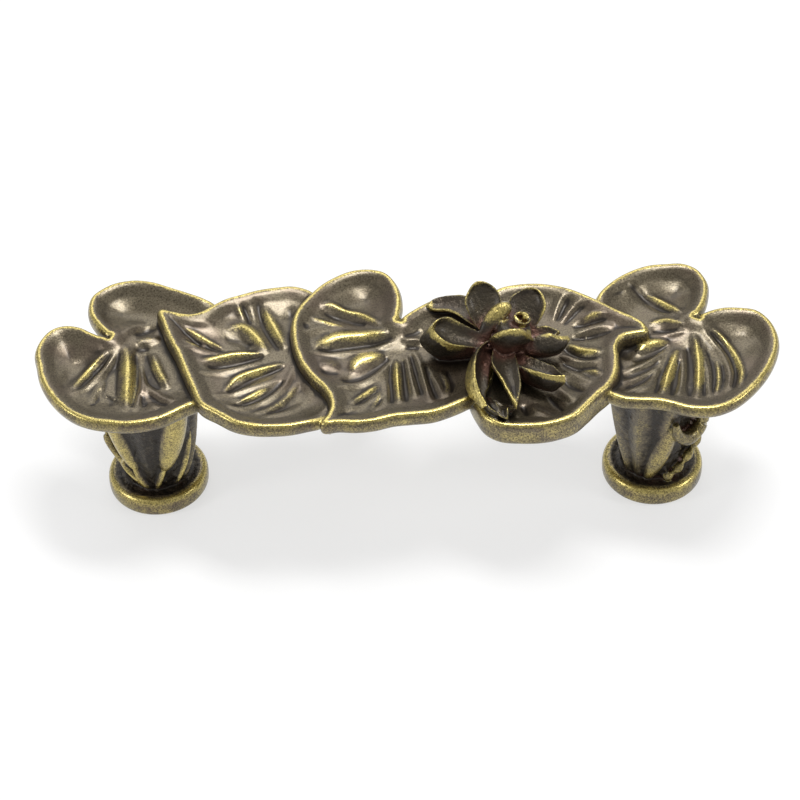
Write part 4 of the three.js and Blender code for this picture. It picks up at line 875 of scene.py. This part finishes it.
def over(under, colour, share):
    """One colour laid over another by a share."""
    node = nodes.new("ShaderNodeMix")
    node.data_type = "RGBA"
    put(node.inputs["Factor"], share)
    for socket, value in ((node.inputs["A"], under), (node.inputs["B"], colour)):
        if isinstance(value, tuple):
            socket.default_value = (*value, 1)
        else:
            links.new(value, socket)
    return node.outputs["Result"]


grain = speckle(4200, 4)
blotch = speckle(420, 3)
cloud = speckle(120, 2)
near_edge = measured("proud_near")
far_edge = measured("proud_far")
relief_here = measured("relief")
# Black patina of the flower and posts; the petals' undersides are darker still as painted shade.
blackened_and_underside_shade = measured("dark")
lumps = speckle(1500, 3)
height = nodes.new("ShaderNodeSeparateXYZ")
links.new(where, height.inputs["Vector"])
on_post = between(height.outputs["Z"], 0.024, 0.019)
in_shade = measured("shaded")
shown = varied(varied(measured("bright"), grain, 0.75), blotch, 0.70)
worn = varied(near_edge, grain, 0.06)
rubbed = worked("MAXIMUM", between(shown, 0.17, 0.85), between(worn, 0.07, 0.16, 0.0, 0.6))
# Painted shade joins the patina: spots the nearby skin shuts in go as dark as the hollows.
patina_and_shade = worked("MAXIMUM", between(near_edge, -0.008, -0.050), between(in_shade, 0.30, 0.62))
patina_and_shade = worked("MAXIMUM", patina_and_shade, between(far_edge, -0.10, -0.42, 0.0, 0.75))
patina_and_shade = worked("MAXIMUM", patina_and_shade, between(relief_here, 0.45, 0.05))
mottled = varied(varied(blackened_and_underside_shade, grain, 1.2), blotch, 0.5)
mottled = worked("MULTIPLY_ADD", worked("MULTIPLY", worked("SUBTRACT", lumps, 0.5), on_post), 2.4, mottled)
patina_and_shade = worked("MAXIMUM", patina_and_shade, worked("MULTIPLY", mottled, between(blackened_and_underside_shade, 0.02, 0.2)))
patina_and_shade = worked("MINIMUM", patina_and_shade, 1.0)
umber = over((0.086, 0.069, 0.042), (0.178, 0.147, 0.094), between(grain, 0.35, 0.65))
purplish = over(umber, (0.125, 0.088, 0.066), between(cloud, 0.45, 0.70, 0.0, 0.5))
# Near-black for the patina and the painted shade, turning reddish at the petal roots.
shade_patina_and_root_red = over((0.018, 0.013, 0.009), (0.150, 0.068, 0.048),
                worked("MULTIPLY", between(in_shade, 0.36, 0.66, 0.0, 0.8), between(blackened_and_underside_shade, 0.45, 0.6)))
brass = over((0.42, 0.335, 0.102), (0.70, 0.575, 0.200), between(grain, 0.35, 0.65))
colour = over(purplish, shade_patina_and_root_red, worked("MULTIPLY", patina_and_shade, 0.93))
colour = over(colour, brass, worked("MULTIPLY", rubbed, worked("MULTIPLY_ADD", patina_and_shade, -0.15, 1.0)))
links.new(colour, shader.inputs["Base Color"])
links.new(worked("MULTIPLY_ADD", rubbed, 0.2, 0.75), shader.inputs["Metallic"])
shader.inputs["Coat Weight"].default_value = 0.35
shader.inputs["Coat Roughness"].default_value = 0.28
shine = worked("MULTIPLY_ADD", rubbed, -0.02, between(grain, 0.3, 0.7, 0.27, 0.35))
links.new(worked("MULTIPLY_ADD", patina_and_shade, 0.12, shine), shader.inputs["Roughness"])
bump = nodes.new("ShaderNodeBump")
bump.inputs["Strength"].default_value = 0.35
bump.inputs["Distance"].default_value = 0.00008
crust = worked("MULTIPLY", worked("MULTIPLY", lumps, blackened_and_underside_shade), worked("MULTIPLY_ADD", on_post, 16.0, 14.0))
links.new(worked("ADD", worked("MULTIPLY_ADD", blotch, 0.8, grain), crust), bump.inputs["Height"])
links.new(bump.outputs["Normal"], shader.inputs["Normal"])
pull_mesh.materials.append(finish)


# The pull lies on a white table, which glows a little itself and so keeps only a faint shadow.
table_glow = 0.6
table_white = bpy.data.materials.new("table")
table_white.use_nodes = True
nodes, links = table_white.node_tree.nodes, table_white.node_tree.links
paint = nodes["Principled BSDF"]
paint.inputs["Base Color"].default_value = (1.0, 1.0, 1.0, 1)
paint.inputs["Roughness"].default_value = 0.9
glow = nodes.new("ShaderNodeEmission")
glow.inputs["Strength"].default_value = 1.0
ray = nodes.new("ShaderNodeLightPath").outputs
seen = worked("MAXIMUM", ray["Is Camera Ray"], ray["Is Glossy Ray"])
seen = worked("MAXIMUM", seen, ray["Is Transmission Ray"])
part_glow = nodes.new("ShaderNodeMixShader")
links.new(worked("MULTIPLY", seen, table_glow), part_glow.inputs["Fac"])
links.new(paint.outputs["BSDF"], part_glow.inputs[1])
links.new(glow.outputs["Emission"], part_glow.inputs[2])
links.new(part_glow.outputs["Shader"], nodes["Material Output"].inputs["Surface"])
table_mesh = bpy.data.meshes.new("table")
table_mesh.from_pydata([(-3, -3, 0), (3, -3, 0), (3, 3, 0), (-3, 3, 0)], [], [(0, 1, 2, 3)])
table = bpy.data.objects.new("table", table_mesh)
bpy.context.collection.objects.link(table)
table_mesh.materials.append(table_white)


# Soft studio light: one lamp overhead that draws the crests, a wide one behind that the faces
# mirror, one on each side, and a dim white room all round.
def soft_light(name, place, size, power):
    light = bpy.data.lights.new(name, "AREA")
    light.shape = "RECTANGLE"
    light.size, light.size_y = size
    light.energy = power
    thing = bpy.data.objects.new(name, light)
    thing.matrix_world = Matrix.Translation(place) @ (
        (Vector((0, 0, 0.015)) - Vector(place)).to_track_quat("-Z", "Y").to_matrix().to_4x4())
    bpy.context.collection.objects.link(thing)


soft_light("top", (0.06, 0.11, 0.60), (0.24, 0.12), 2.1)
soft_light("back", (-0.05, 0.47, 0.45), (0.50, 0.24), 0.7)
soft_light("left", (-0.55, -0.20, 0.32), (0.14, 0.14), 0.7)
soft_light("right", (0.55, -0.12, 0.34), (0.14, 0.14), 0.6)
world = bpy.data.worlds.new("studio")
bpy.context.scene.world = world
world.use_nodes = True
sky = world.node_tree.nodes["Background"]
sky.inputs["Color"].default_value = (1, 1, 1, 1)
sky.inputs["Strength"].default_value = 0.45
bpy.context.scene.view_settings.view_transform = "Standard"
